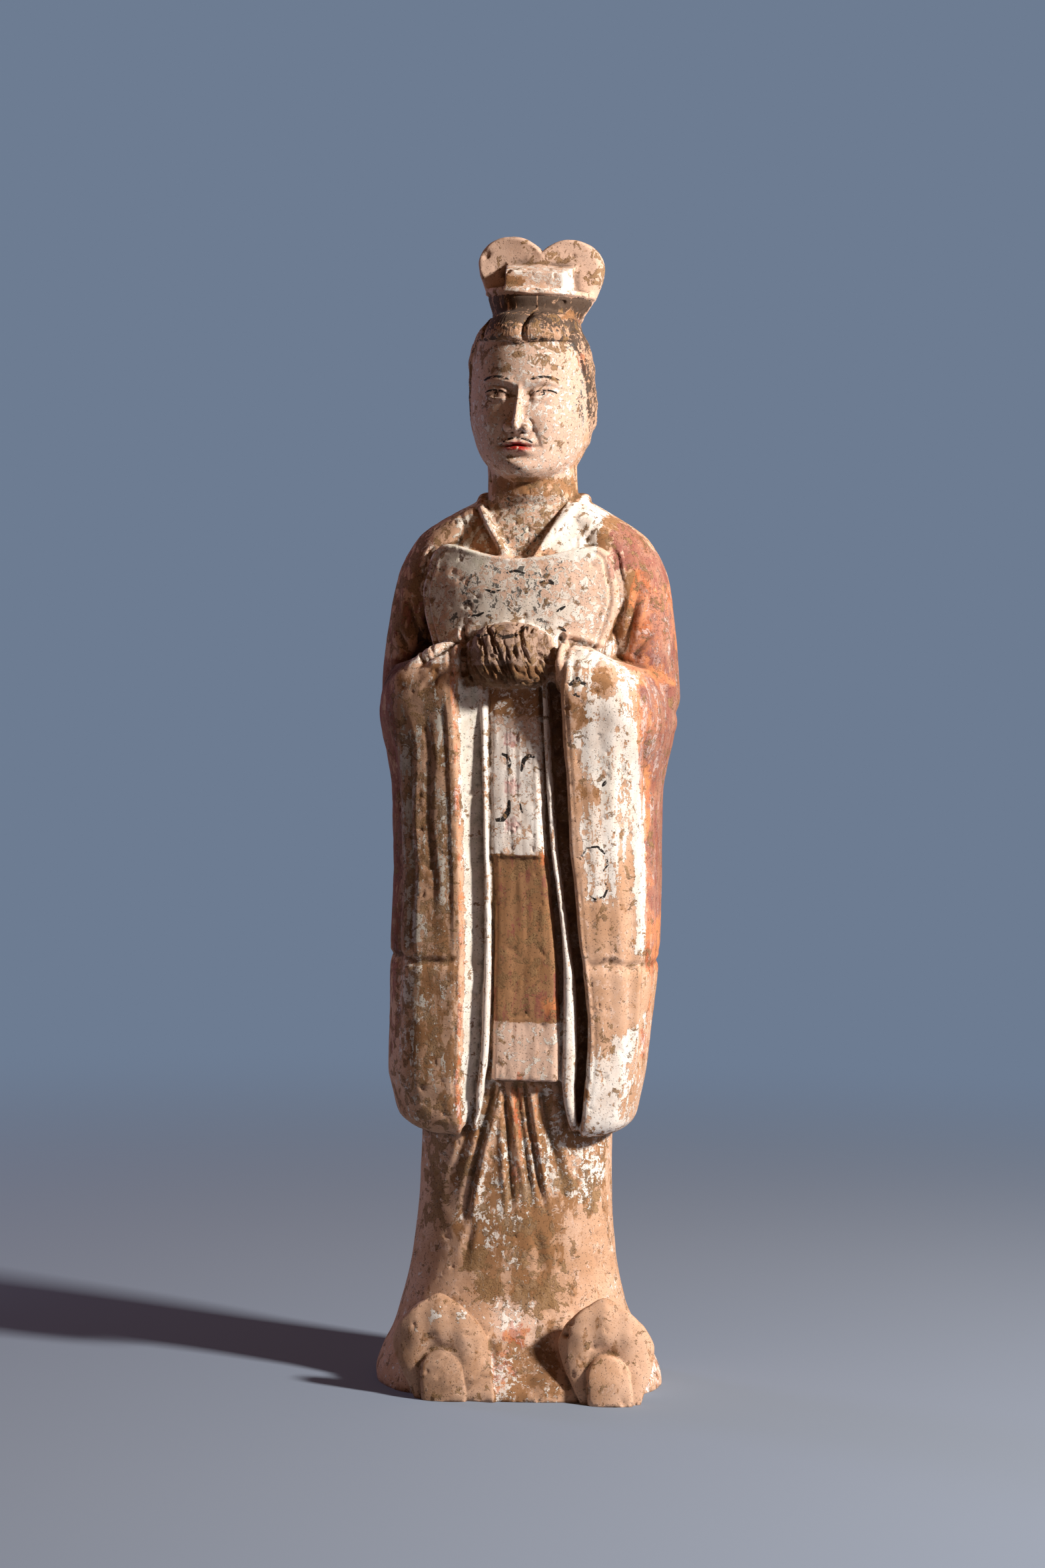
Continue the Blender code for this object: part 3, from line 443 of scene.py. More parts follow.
def solid(rings):
    """Points and faces of a closed skin through a stack of rings, with flat ends."""
    count, around = len(rings), len(rings[0])
    i, j = np.meshgrid(np.arange(count - 1), np.arange(around), indexing="ij")
    low, high = i * around, (i + 1) * around
    after = (j + 1) % around
    faces = np.stack([low + j, low + after, high + after, high + j], axis=-1).reshape(-1, 4).tolist()
    faces.append(list(range(around))[::-1])
    faces.append(list(range((count - 1) * around, count * around)))
    return np.concatenate(rings), faces


def stack(heights, middles, half_widths, fronts, backs, squareness, middle_y=0.0):
    """A closed form of level rings, each with its own middle across, half width and depths."""
    rings = []
    for z, middle, a, front, back in zip(*np.broadcast_arrays(heights, middles, half_widths, fronts, backs)):
        x, y = ring(a, front, back, squareness)
        rings.append(np.column_stack([x + middle, y + middle_y, np.full(RING_POINTS, z)]))
    return solid(rings)


def upright(table, squareness, middle_y=0.0):
    """A closed form from rows of height, half width, depth in front and depth behind."""
    heights = heights_through(table)
    return stack(heights, 0.0, *columns_at(table, heights), squareness, middle_y)


def mirrored(form):
    """The same form on the figure's other side."""
    points, faces = form
    return points * (-1, 1, 1), [face[::-1] for face in faces]


def ball(middle, radii):
    """A closed egg with the given half sizes."""
    rings = []
    for angle in np.linspace(-math.pi / 2, math.pi / 2, 40)[1:-1]:
        x, y = ring(radii[0], radii[1], radii[1], 2)
        level = np.full(RING_POINTS, math.sin(angle) * radii[2])
        rings.append(np.column_stack([x * math.cos(angle), y * math.cos(angle), level]) + middle)
    return solid(rings)


def tube(stations):
    """A closed round tube through stations of x, y, z and radius, with rounded ends."""
    rows = np.array(stations, float)
    along = np.concatenate([[0], np.cumsum(np.linalg.norm(np.diff(rows[:, :3], axis=0), axis=1))])
    at = np.linspace(0, along[-1], max(6, round(along[-1] / RING_SPACING)))
    path = np.column_stack([smooth_curve(along, rows[:, i], at) for i in range(3)])
    radii = smooth_curve(along, rows[:, 3], at)
    tangents = np.gradient(path, axis=0)
    tangents /= np.linalg.norm(tangents, axis=1)[:, None]
    first, last = tangents[0] * radii[0], tangents[-1] * radii[-1]
    cap = np.linspace(0, math.pi / 2, 8)[1:-1]
    start = [(path[0] - first * math.cos(a), radii[0] * math.sin(a), tangents[0]) for a in cap]
    end = [(path[-1] + last * math.cos(a), radii[-1] * math.sin(a), tangents[-1]) for a in cap[::-1]]
    angles = np.linspace(0, 2 * math.pi, RING_POINTS, endpoint=False)
    rings = []
    for middle, radius, tangent in start + list(zip(path, radii, tangents)) + end:
        side = np.cross(tangent, (0, 0, 1))
        side /= np.linalg.norm(side)
        rise = np.cross(side, tangent)
        turn = np.outer(np.cos(angles), side) + np.outer(np.sin(angles), rise)
        rings.append(middle - turn[::-1] * radius)
    return solid(rings)


def spaced(outline):
    """The same closed outline with RING_POINTS points an even way apart."""
    closed = np.vstack([outline, outline[:1]])
    along = np.concatenate([[0], np.cumsum(np.linalg.norm(np.diff(closed, axis=0), axis=1))])
    at = np.linspace(0, along[-1], RING_POINTS, endpoint=False)
    return np.column_stack([np.interp(at, along, closed[:, i]) for i in range(2)])


def slab(outline, front, back, rounding):
    """A closed form with one outline of x and z, between two faces whose y are functions of x and z.
    The edges of both faces are rounded. The outline runs clockwise, seen from the front."""
    outline = spaced(np.array(outline, float))
    middle = (outline.max(axis=0) + outline.min(axis=0)) / 2
    reach = np.abs(outline - middle).max()
    eased = [(1 - math.cos(a), 1 - math.sin(a)) for a in np.linspace(0, math.pi / 2, 7)]
    flat = [0.04, 0.14, 0.24, 0.34, 0.44, 0.54, 0.64, 0.74, 0.83, 0.9]
    shares = flat + [1 - rounding * drop / reach for _, drop in eased]
    sinks = [0.0] * len(flat) + [rounding * sink for sink, _ in eased]
    stacks = []
    for face, way in ((front, 1), (back, -1)):
        stack = []
        for share, sink in zip(shares, sinks):
            x, z = (middle + (outline - middle) * share).T
            stack.append(np.column_stack([x, face(x, z) + way * sink, z]))
        stacks.append(stack)
    return solid(stacks[0] + stacks[1][::-1])


def sleeve(opened):
    """One wide sleeve hanging from the forearm to below the knee, with a square edge beside the apron from
    which its front falls back toward the outside; an opened one's mouth stands further out."""
    heights = heights_through(SLEEVE)
    inners, outers, fronts, backs, slopes = columns_at(SLEEVE, heights)
    inners = inners + opened * np.interp(heights, MOUTH_LEVELS, MOUTH_SHIFTS)
    rings = []
    for z, inner, outer, front, back, slope in zip(heights, inners, outers, fronts, backs, slopes):
        x, y = ring((outer - inner) / 2, front, back, SLEEVE_ROUND, SLEEVE_LIP_SQUARENESS)
        y = np.where(y < 0, y * (1 - SLEEVE_FALL * (0.5 + x / (outer - inner))), y)
        rings.append(np.column_stack([x + (inner + outer) / 2, y, z + slope * (x + outer - inner) / 2]))
    return solid(rings)


def sleeve_lip(table):
    """The back edge of one sleeve's mouth, a thin wall beside the apron that meets the front edge below."""
    heights = heights_through(table)
    return stack(heights, *columns_at(table, heights), 0.0, squareness=5)


def arm():
    """One upper arm with its shoulder."""
    heights = heights_through(ARM)
    return stack(heights, *columns_at(ARM, heights), squareness=2.1)


def lining():
    """The lining inside one sleeve's mouth, sloping back from the front edge to the thin lip."""
    heights = heights_through(NARROW_LIP)[1:-1]
    lips = columns_at(NARROW_LIP, heights)[0] - 1
    inners, _, fronts = columns_at(SLEEVE, heights)[:3]
    share = np.linspace(0, 1, RING_POINTS // 2)
    rings = []
    for z, edge, front, lip in zip(heights, inners + 2, fronts - 2.5, lips):
        x = edge + (lip - edge) * share
        y = LINING_DROP * share**0.7 - front
        outline_x = np.concatenate([x, x[::-1]])
        outline_y = np.concatenate([y, np.full(len(x), -40.0)])
        rings.append(np.column_stack([outline_x, outline_y, np.full(len(outline_x), z)]))
    return solid(rings)


def plate_outline():
    """The chest plate's outline: rounded upper corners, a dipped top edge, sides drawn in toward the foot."""
    corner_x = PLATE_TOP_HALF_WIDTH - PLATE_CORNER
    top = [(s * corner_x, PLATE_TOP - PLATE_DIP * (1 - s * s) ** 1.5) for s in np.linspace(-1, 1, 25)]
    right = []
    for a in np.linspace(0, math.pi / 2, 12)[1:]:
        right.append((corner_x + PLATE_CORNER * math.sin(a), PLATE_TOP - PLATE_CORNER * (1 - math.cos(a))))
    levels = np.linspace(PLATE_TOP - PLATE_CORNER, PLATE_FOOT, 20)[1:]
    side = smooth_curve(
        (PLATE_FOOT, PLATE_WAIST, PLATE_TOP - PLATE_CORNER),
        (PLATE_FOOT_HALF_WIDTH, PLATE_HALF_WIDTH, PLATE_TOP_HALF_WIDTH),
        levels,
    )
    right += list(zip(side, levels))
    return top + right + [(-x, z) for x, z in right[::-1]]


def plate_front(x, z):
    """The chest plate's face, curved round the chest."""
    return -(PLATE_FRONT - 20 * (np.abs(x) / PLATE_HALF_WIDTH) ** 2.4 - 5 * fade(z, PLATE_WAIST, PLATE_TOP))


def chest_plate():
    """The vest's front plate."""
    return slab(plate_outline(), plate_front, lambda x, z: np.full_like(x, -10.0), PLATE_EDGE)


def back_plate():
    """The vest's plate behind, plainer and thinner than the one in front."""
    half = BACK_PLATE_HALF_WIDTH
    outline = []
    for a in np.linspace(0, 2 * math.pi, RING_POINTS, endpoint=False)[::-1]:
        across, rise = math.cos(a), math.sin(a)
        outline.append((
            half * math.copysign(abs(across) ** 0.4, across),
            BACK_PLATE_LEVEL + BACK_PLATE_HALF_HEIGHT * math.copysign(abs(rise) ** 0.4, rise),
        ))

    def plate_back(x, z):
        return BACK_PLATE_FACE - 15 * (np.abs(x) / half) ** 2.2 - 11 * fade(z, BACK_LEAN_FOOT, BACK_LEAN_TOP)

    return slab(outline, lambda x, z: np.full_like(x, BACK_PLATE_ROOT), plate_back, 3)


def apron():
    """The long panel in front, each length standing a little over or under the next."""
    lengths = []
    for table in APRON_LENGTHS:
        heights = heights_through(table)
        lengths.append(stack(heights, *columns_at(table, heights), -20.0, APRON_SQUARENESS))
    return lengths


def lapel():
    """One lapel of the crossed collar, a rolled band from behind the neck down to the neckline's foot."""
    return tube(
        (
            (8, 32, NECKLINE_TOP + 1, 4),
            (30, 23, NECKLINE_TOP, 4.5),
            (40.5, -3, NECKLINE_TOP - 2, 5),
            (36.5, -25, NECKLINE_TOP - 10, 5),
            (24, -41, NECKLINE_FOOT + 22, 4.8),
            (9, -51, NECKLINE_FOOT - 1, 4),
        )
    )


def nose():
    """The bridge, tip and wings of the nose."""
    wing = ball((7.0, HEAD_Y - 56.5, NOSE_LEVEL + 3.0), (4.0, 5.2, 4.0))
    bridge = upright([(z, a, front, 0) for z, a, front in NOSE], 2.2, middle_y=HEAD_Y)
    return [bridge, wing, mirrored(wing)]


def head():
    """Neck, skull, swept-up hair, the hair gathered behind, and the ears."""
    ear = ball((HEAD_HALF_WIDTH - 2.5, 1, EYE_LEVEL - 7), (4.5, 9, 17))
    return [
        upright(HAIR, 2.1, middle_y=HEAD_Y),
        upright(NECK, 2, middle_y=HEAD_Y + 1),
        upright(HEAD, HEAD_SQUARENESS, middle_y=HEAD_Y),
        upright(NAPE, HEAD_SQUARENESS, middle_y=HEAD_Y),
        ear,
        mirrored(ear),
    ]


def cap_lobes():
    """The two rounded lobes that stand up at the back of the cap and meet in a notch, wider behind at +X."""
    reach = CAP_HALF_WIDTH - LOBE_MIDDLE
    rise = TOP_LEVEL - LOBE_LEVEL
    notch = math.acos(-LOBE_MIDDLE / reach)
    turn = np.linspace(notch, 0, 40)
    right = [(LOBE_MIDDLE + reach * math.cos(a), LOBE_LEVEL + rise * math.sin(a)) for a in turn]
    right += [(CAP_HALF_WIDTH - 1.5, LOBE_FOOT + 4), (44, CAP_FOOT + 22)]
    right += [(36.5, CAP_FOOT + 7), (31, CAP_FOOT - 2)]
    left = [(-x, z) for x, z in right[::-1]]
    points, faces = slab(
        right + left[:-1],
        lambda x, z: LOBE_FACE + 4 * (np.abs(x) / CAP_HALF_WIDTH) ** 2 + 3 * fade(z, LOBE_FOOT, TOP_LEVEL),
        lambda x, z: LOBE_BACK - 5 * (np.abs(x) / CAP_HALF_WIDTH) ** 2 + 0 * z,
        3.0,
    )
    toward_front = np.clip((LOBE_BACK - points[:, 1]) / (LOBE_BACK - LOBE_FACE), 0, 1)
    points[:, 0] -= LOBE_BEVEL * toward_front * fade(points[:, 0], 20, CAP_HALF_WIDTH)
    return points, faces


def cap_box():
    """The low box on the front of the cap, wider behind, its top sloping up to the lobes."""
    front, back = CAP_BOX_HALF_WIDTH, CAP_BOX_BACK_HALF_WIDTH
    low = CAP_FOOT + 12
    corners = ((-front, CAP_BOX_FRONT), (front, CAP_BOX_FRONT), (back, 4), (-back, 4))
    foot = [(x, y, low) for x, y in corners]
    top = [(x * 0.97, y, CAP_BOX_TOP + (CAP_BOX_RISE if y > 0 else 0)) for x, y in corners]
    return solid([np.array(foot, float), np.array(top, float)])


def cap():
    """The official's cap: a flared band, a low box on its front and two rounded lobes behind."""
    return [upright(CAP_BAND, 2.3), cap_lobes(), cap_box()]


def shoe_front(x, z, toe):
    """The toe plate's face: one dome above, a shallow hollow down its middle below, edges swept back, the
    whole leaning back."""
    across = np.clip(np.abs(x - SHOE_X) / SHOE_HALF_WIDTH, 0, 1)
    lean = toe - 11 * fade(z, 10, SHOE_TOP + 15)
    cheeks = 2 * bump(across, 0.55, 0.3) * (1 - fade(z, 48, 70))
    hollow = 4 * bump(across, 0, 0.4) * (1 - fade(z, 30, 56))
    dome = 4 * (1 - across**2) * fade(z, 36, 56)
    return -(lean + cheeks + dome - hollow - 10 * across**3.0 - 7 * fade(z, SHOE_TOP - 14, SHOE_TOP + 4))


def shoe(toe):
    """One shoe: its tall toe plate, the tongue in front of it and the body behind."""
    rise = SHOE_TOP - SHOE_WIDEST_LEVEL
    shape = []
    for a in np.linspace(math.pi, 0, 40):
        across = math.copysign(abs(math.cos(a)) ** 1.4, math.cos(a))
        shape.append((across, SHOE_WIDEST_LEVEL + rise * abs(math.sin(a)) ** 1.4))
    side = [(0.98, 36), (0.9, 25), (0.75, 12), (0.62, 0), (0.54, -BELOW_FOOT)]
    shape += side + [(-x, z) for x, z in side[::-1]]

    def plate_back(x, z):
        across = (x - SHOE_X) / SHOE_HALF_WIDTH
        return -(toe - SHOE_SOLE - 11 * fade(z, 10, SHOE_TOP + 15) - 10 * across**2)

    outline = [(SHOE_X + x * SHOE_HALF_WIDTH, z) for x, z in shape]
    plate = slab(outline, lambda x, z: shoe_front(x, z, toe), plate_back, 1.3)
    body = ball((SHOE_X, -(toe - 48), 26), (27, 38, 36))
    half = TONGUE_HALF_WIDTH
    lobe = [(math.cos(a), TONGUE_TOP - half + half * math.sin(a)) for a in np.linspace(math.pi, 0, 30)]
    lobe += [(1.04, 8), (1.0, -BELOW_FOOT), (-1.0, -BELOW_FOOT), (-1.04, 8)]

    def tongue_front(x, z):
        across = (x - SHOE_X) / half
        return -(toe + TONGUE_TOE - SHOE_TOE - 3 * across**2 - 7 * fade(z, 14, TONGUE_TOP + 4))

    tongue = slab(
        [(SHOE_X + x * half, z) for x, z in lobe], tongue_front, lambda x, z: np.full_like(x, -60.0), 3.0
    )
    return [plate, tongue, body]


def hands():
    """The clasped hands, wrapped in cloth."""
    return upright([(HAND_LEVEL + rise, half, front, -40) for rise, half, front in HANDS], 2.8)


def forms():
    """Every closed form of the figure, before they are fused."""
    one_side = [arm(), tube(FOREARM), lapel()]
    both_sides = one_side + [mirrored(form) for form in one_side]
    sleeves = [sleeve(1.0), mirrored(sleeve(0.0))]
    mouths = [sleeve_lip(BROAD_LIP), mirrored(sleeve_lip(NARROW_LIP)), mirrored(lining())]
    shoes = shoe(SHOE_TOE + SHOE_STEP) + [mirrored(form) for form in shoe(SHOE_TOE - SHOE_STEP)]
    shoes = [(points + (SHOE_SHIFT, 0, 0), faces) for points, faces in shoes]
    middle = [upright(ROBE, ROBE_SQUARENESS), chest_plate(), back_plate(), *apron(), hands()]
    return both_sides + sleeves + mouths + shoes + middle + head() + nose() + cap()


def posed(points):
    """Each height turned about the upright axis and swayed to the side, and the cap tilted down at +X."""
    x, y, z = points.T
    angles = np.radians(np.interp(z, TURN_LEVELS, TURNS))
    sways = np.interp(z, SWAY_LEVELS, SWAYS)
    c, s = np.cos(angles), np.sin(angles)
    tilt = CAP_TILT * (x + LOBE_MIDDLE) * fade(z, CAP_FOOT, CAP_FOOT + 30)
    return np.column_stack([x * c - y * s + sways, x * s + y * c, z - tilt])


def mesh_of(name, form):
    """A Blender mesh from points in UNITs and faces."""
    points, faces = form
    mesh = bpy.data.meshes.new(name)
    mesh.from_pydata((points * UNIT).tolist(), [], faces)
    mesh.update()
    return mesh


def fused(name, pieces):
    """One object whose skin runs round all the pieces together."""
    everything = bmesh.new()
    for piece in pieces:
        mesh = mesh_of("piece", piece)
        everything.from_mesh(mesh)
        bpy.data.meshes.remove(mesh)
    bmesh.ops.recalc_face_normals(everything, faces=everything.faces)
    mesh = bpy.data.meshes.new(name)
    everything.to_mesh(mesh)
    everything.free()
    figure = bpy.data.objects.new(name, mesh)
    bpy.context.scene.collection.objects.link(figure)
    remesh = figure.modifiers.new("fuse", "REMESH")
    remesh.mode = "VOXEL"
    remesh.voxel_size = GRAIN * UNIT
    soften = figure.modifiers.new("soften", "SMOOTH")
    soften.factor = 0.4
    soften.iterations = 2
    return figure


def settle(figure):
    """The figure's modifiers worked into its mesh."""
    graph = bpy.context.evaluated_depsgraph_get()
    mesh = bpy.data.meshes.new_from_object(figure.evaluated_get(graph))
    figure.modifiers.clear()
    figure.data = mesh


def read_skin(mesh):
    """Points in UNITs and outward normals of a mesh."""
    count = len(mesh.vertices)
    points, normals = np.zeros(count * 3, np.float32), np.zeros(count * 3, np.float32)
    mesh.vertices.foreach_get("co", points)
    mesh.vertex_normals.foreach_get("vector", normals)
    return points.reshape(-1, 3).astype(float) / UNIT, normals.reshape(-1, 3).astype(float)


def write_skin(mesh, points):
    """Points in UNITs written back to a mesh."""
    mesh.vertices.foreach_set("co", (points * UNIT).astype(np.float32).ravel())
    mesh.update()


def spread(mesh, values, rounds):
    """Values averaged with those of the points next door, some rounds over."""
    ends = np.zeros(len(mesh.edges) * 2, np.int32)
    mesh.edges.foreach_get("vertices", ends)
    first, second = ends[::2], ends[1::2]
    count = len(mesh.vertices)
    near = np.bincount(first, minlength=count) + np.bincount(second, minlength=count) + 1.0
    flat = values.reshape(count, -1)
    for _ in range(rounds):
        columns = []
        for column in flat.T:
            total = np.bincount(first, column[second], count) + np.bincount(second, column[first], count)
            columns.append((column + total) / near)
        flat = np.column_stack(columns)
    return flat.reshape(values.shape)


def standing_out(mesh, rounds):
    """How far each point stands out of the skin round it, in UNITs: plus on edges, minus in hollows."""
    points, normals = read_skin(mesh)
    return ((points - spread(mesh, points, rounds)) * normals).sum(axis=1)


def line_distance(points, path):
    """How far each point's x and z lie from a chain of straight runs, plus toward +X where the chain runs
    down, and how far along the chain, 0 to 1."""
    spots = points[:, [0, 2]]
    path = np.array(path, float)
    lengths = np.linalg.norm(np.diff(path, axis=0), axis=1)
    starts = np.concatenate([[0], np.cumsum(lengths)])
    best, along = np.full(len(spots), np.inf), np.zeros(len(spots))
    side = np.ones(len(spots))
    for a, b, start, length in zip(path[:-1], path[1:], starts, lengths):
        run, reach = b - a, spots - a
        t = np.clip((reach @ run) / length**2, 0, 1)
        distance = np.linalg.norm(reach - t[:, None] * run, axis=1)
        nearer = distance < best
        best = np.where(nearer, distance, best)
        along = np.where(nearer, (start + t * length) / starts[-1], along)
        side = np.where(nearer, np.sign(run[0] * reach[:, 1] - run[1] * reach[:, 0]), side)
    return best * side, along


def fold(points, path, width, depth, start=0.12, end=0.3, lean=0.0):
    """A pressed fold: a sharp groove along the path that fades out at its ends, with a ridge on both sides.
    A lean of 1 leaves only the ridge on the plus side, -1 only the other."""
    offset, along = line_distance(points, path)
    taper = fade(along, 0, start) * (1 - fade(along, 1 - end, 1))
    groove = np.exp(-((np.abs(offset) / width) ** 1.5))
    ridges = (1 + lean) * bump(offset, 1.7 * width, width) + (1 - lean) * bump(offset, -1.7 * width, width)
    return taper * depth * (0.5 * ridges - groove)


def in_front(points, normals):
    """1 where the skin is on the figure's front and looks forward."""
    return fade(-normals[:, 1], -0.1, 0.25) * fade(-points[:, 1], 5, 25)


def read_rows(table, column, heights):
    """One column of a table read at each point's height."""
    rows = np.array(sorted(table), float)
    return np.interp(heights, rows[:, 0], rows[:, column])


def from_mouth(points):
    """How far out from its sleeve's front edge each point lies: plus on the sleeve, minus in the mouth."""
    x, _, z = points.T
    opened = np.interp(z, MOUTH_LEVELS, MOUTH_SHIFTS)
    return np.abs(x) - read_rows(SLEEVE, 1, z) - np.where(x > 0, opened, 0)


def from_lip(points):
    """How far out from the middle of its sleeve's back lip each point lies, in half widths of the lip."""
    x, _, z = points.T
    broad = (x - read_rows(BROAD_LIP, 1, z)) / read_rows(BROAD_LIP, 2, z)
    narrow = (-x - read_rows(NARROW_LIP, 1, z)) / read_rows(NARROW_LIP, 2, z)
    return np.where(x > 0, broad, narrow)


def on_apron(points):
    """1 on the long panel between the sleeves."""
    x, y, z = points.T
    rows = [row for length in APRON_LENGTHS for row in length]
    inside = read_rows(rows, 2, z) - np.abs(x - read_rows(rows, 1, z))
    level = fade(z, APRON_HEM - 2, APRON_HEM + 1) * (1 - fade(z, MOUTH_TOP - 12, MOUTH_TOP))
    return fade(inside, -0.8, 0.8) * fade(-y, 60, 64) * level


def skirt_folds(points):
    """Pleats that fan out below the apron and die away above the shoes."""
    folds = (
        ([(-14, 246), (-18, 230), (-27, 201), (-33, 173), (-39, 140), (-46, 112)], 3.2, 3.6, 0.05, 0.3, 0.6),
        ([(-9, 246), (-7, 204), (-3, 150), (-3, 120)], 2.6, 2.6, 0.05, 0.4, -0.5),
        ([(0, 246), (2, 236), (6, 198), (12, 160), (14, 128)], 3.0, 3.0, 0.05, 0.4, -0.3),
        ([(7, 246), (11, 205), (19, 160), (26, 132)], 2.6, 3.4, 0.05, 0.4, 0.5),
        ([(20, 244), (26, 205), (37, 164), (44, 140)], 3.6, 2.4, 0.1, 0.5, 0.3),
        ([(-24, 240), (-37, 204), (-49, 166), (-58, 132)], 4.0, 2.0, 0.1, 0.5, -0.3),
        ([(-34, 150), (-36, 120), (-41, 92)], 3.4, 1.6, 0.3, 0.5, 0.0),
        ([(18, 130), (19, 108), (24, 84)], 4.0, 1.4, 0.3, 0.5, 0.2),
    )
    pressed = [fold(points, *f) for f in folds]
    total = np.minimum.reduce(pressed) + np.maximum.reduce(pressed)
    return total * (1 - fade(points[:, 2], APRON_HEM - 4, APRON_HEM + 4))


def sleeve_folds(points, normals):
    """Upright flutes down each sleeve, and the level crease where the mould's halves were joined."""
    x, _, z = points.T
    flutes = (
        ([(-99, 519), (-94, 464), (-95, 349), (-92, 244)], 3.2, 2.2, 0.1, 0.3, -0.4),
        ([(-84, 539), (-80, 500), (-83, 450), (-81, 410), (-85, 349), (-76, 300)], 3.2, 1.7, 0.2, 0.4, 0.5),
        ([(-68, 540), (-64, 500), (-67, 450), (-64, 400), (-67, 345)], 2.8, 1.2, 0.2, 0.4, 0.2),
        ([(-52, 549), (-51, 464), (-52, 349), (-52, 299)], 3.0, 1.1, 0.1, 0.4, 0.4),
        ([(57, 549), (55, 454), (59, 354), (61, 239)], 5.0, 0.7, 0.1, 0.12, 0.0),
        ([(71, 549), (70, 454), (73, 354), (76, 239)], 6.0, 0.6, 0.1, 0.12, 0.0),
        ([(88, 539), (85, 454), (88, 354), (87, 239)], 5.0, 1.1, 0.1, 0.12, 0.5),
        ([(104, 524), (99, 444), (98, 349), (96, 244)], 2.6, 3.4, 0.1, 0.12, -0.8),
    )
    off_edge = from_mouth(points)
    facing = fade(-normals[:, 1], -0.35, 0.1) * fade(off_edge, 2, 6)
    flute = sum(fold(points, *f) for f in flutes) * facing
    outer = fade(off_edge, 4, 9)
    seam = z - CREASE_LEVEL - 1.6 * np.sin(x / 9) - 0.8 * np.sin(x / 3.7 + 1)
    crease = np.exp(-((np.abs(seam) / 2.3) ** 1.5)) - 0.45 * bump(seam, 4.6, 2.4)
    return flute - 1.4 * crease * outer


def arm_folds(points):
    """Folds that run from the bend of each elbow up the sleeve."""
    folds = (
        ([(95, 632), (88, 606), (81, 578)], 3.4, 3.4, 0.3, 0.15, -0.5),
        ([(107, 597), (98, 588), (87, 577)], 2.8, 2.8, 0.3, 0.15, -0.3),
        ([(84, 626), (80, 604), (76, 581)], 2.8, 2.0, 0.3, 0.2, -0.3),
        ([(103, 640), (103, 624), (99, 606)], 3.6, 1.6, 0.4, 0.3, 0.0),
        ([(-93, 622), (-87, 602), (-80, 580)], 3.4, 3.2, 0.3, 0.15, 0.5),
        ([(-102, 597), (-97, 588), (-89, 575)], 2.8, 2.6, 0.3, 0.15, 0.3),
        ([(-104, 640), (-103, 620), (-99, 604)], 3.6, 1.6, 0.4, 0.3, 0.0),
        ([(-104, 559), (-88, 571), (-70, 588)], 5.0, 5.0, 0.3, 0.2, 0.0),
    )
    return sum(fold(points, *f) for f in folds) * fade(np.abs(points[:, 0]), 66, 74)


def forearm_folds(points):
    """Folds of the sleeve over each forearm, running to the cuff, and the upright ones beside the cuff."""
    folds = (
        ([(-75, 566), (-52, 581), (-36, 590), (-24, 594)], 2.6, 3.0, 0.25, 0.1, 0.2),
        ([(-70, 548), (-50, 562), (-40, 570)], 3.0, 1.6, 0.3, 0.3, 0.0),
        ([(-41, 600), (-38, 576), (-34, 548)], 2.0, 2.6, 0.1, 0.15, -0.4),
        ([(-47, 592), (-45, 574), (-42, 552)], 2.0, 1.6, 0.2, 0.3, 0.0),
        ([(82, 575), (64, 584), (46, 590), (33, 592)], 2.4, 2.4, 0.25, 0.1, -0.2),
        ([(38, 598), (38, 576), (35, 548)], 2.0, 2.6, 0.1, 0.15, 0.4),
        ([(46, 590), (45, 572), (43, 552)], 2.0, 1.8, 0.2, 0.3, 0.0),
        ([(54, 576), (52, 562), (50, 546)], 2.6, 1.2, 0.3, 0.4, 0.0),
    )
    return sum(fold(points, *f) for f in folds) * fade(-points[:, 1], 40, 52)


def neckline_edge(points):
    """How far inside the hollow of the collar each point's x and z lie."""
    x, _, z = points.T
    rise = np.clip((z - NECKLINE_FOOT) / (NECKLINE_TOP - NECKLINE_FOOT), 0, 1.2)
    narrow = 6.6 + (NECKLINE_HALF_WIDTH - 1) * rise + x
    broad = 10 + (NECKLINE_HALF_WIDTH - 10) * rise - x
    return np.where(x < 0, narrow, broad)


def collar(points):
    """The hollow inside the crossed lapels, and the edges of the lapels: a rolled ridge with a panel beside
    it at -X, and a broad flap at +X."""
    z = points[:, 2]
    inside = neckline_edge(points)
    hollow = -4.6 * fade(inside, -0.8, 1.6) * fade(z, NECKLINE_FOOT - 2, NECKLINE_FOOT + 6)
    on_chest = 1 - fade(z, NECKLINE_TOP - 8, NECKLINE_TOP + 2)
    ridge = fold(points, [(-43, 694), (-31, 676), (-17, 657)], 2.2, 2.4, 0.1, 0.1, 0.0)
    flap = fold(points, [(62, 694), (55, 678), (46, 662)], 2.0, 1.0, 0.2, 0.2, -0.5)
    panel = fold(points, [(-56, 692), (-48, 676), (-40, 662)], 2.0, 0.9, 0.2, 0.2, 0.4)
    return (hollow + (ridge + flap + panel) * (z > NECKLINE_FOOT - 2)) * on_chest


def on_chest_plate(points):
    """1 on the chest plate's face, and how far inside the plate's outline each point lies."""
    x, y, z = points.T
    edge, _ = line_distance(points, plate_outline() + plate_outline()[:1])
    level = fade(z, PLATE_FOOT - 4, PLATE_FOOT) * (1 - fade(z, PLATE_TOP + 2, PLATE_TOP + 5))
    reach = 1 - fade(np.abs(x), PLATE_HALF_WIDTH + 2, PLATE_HALF_WIDTH + 6)
    on_face = (1 - fade(y - plate_front(x, z), 5, 9)) * level * reach
    return on_face, np.abs(edge)


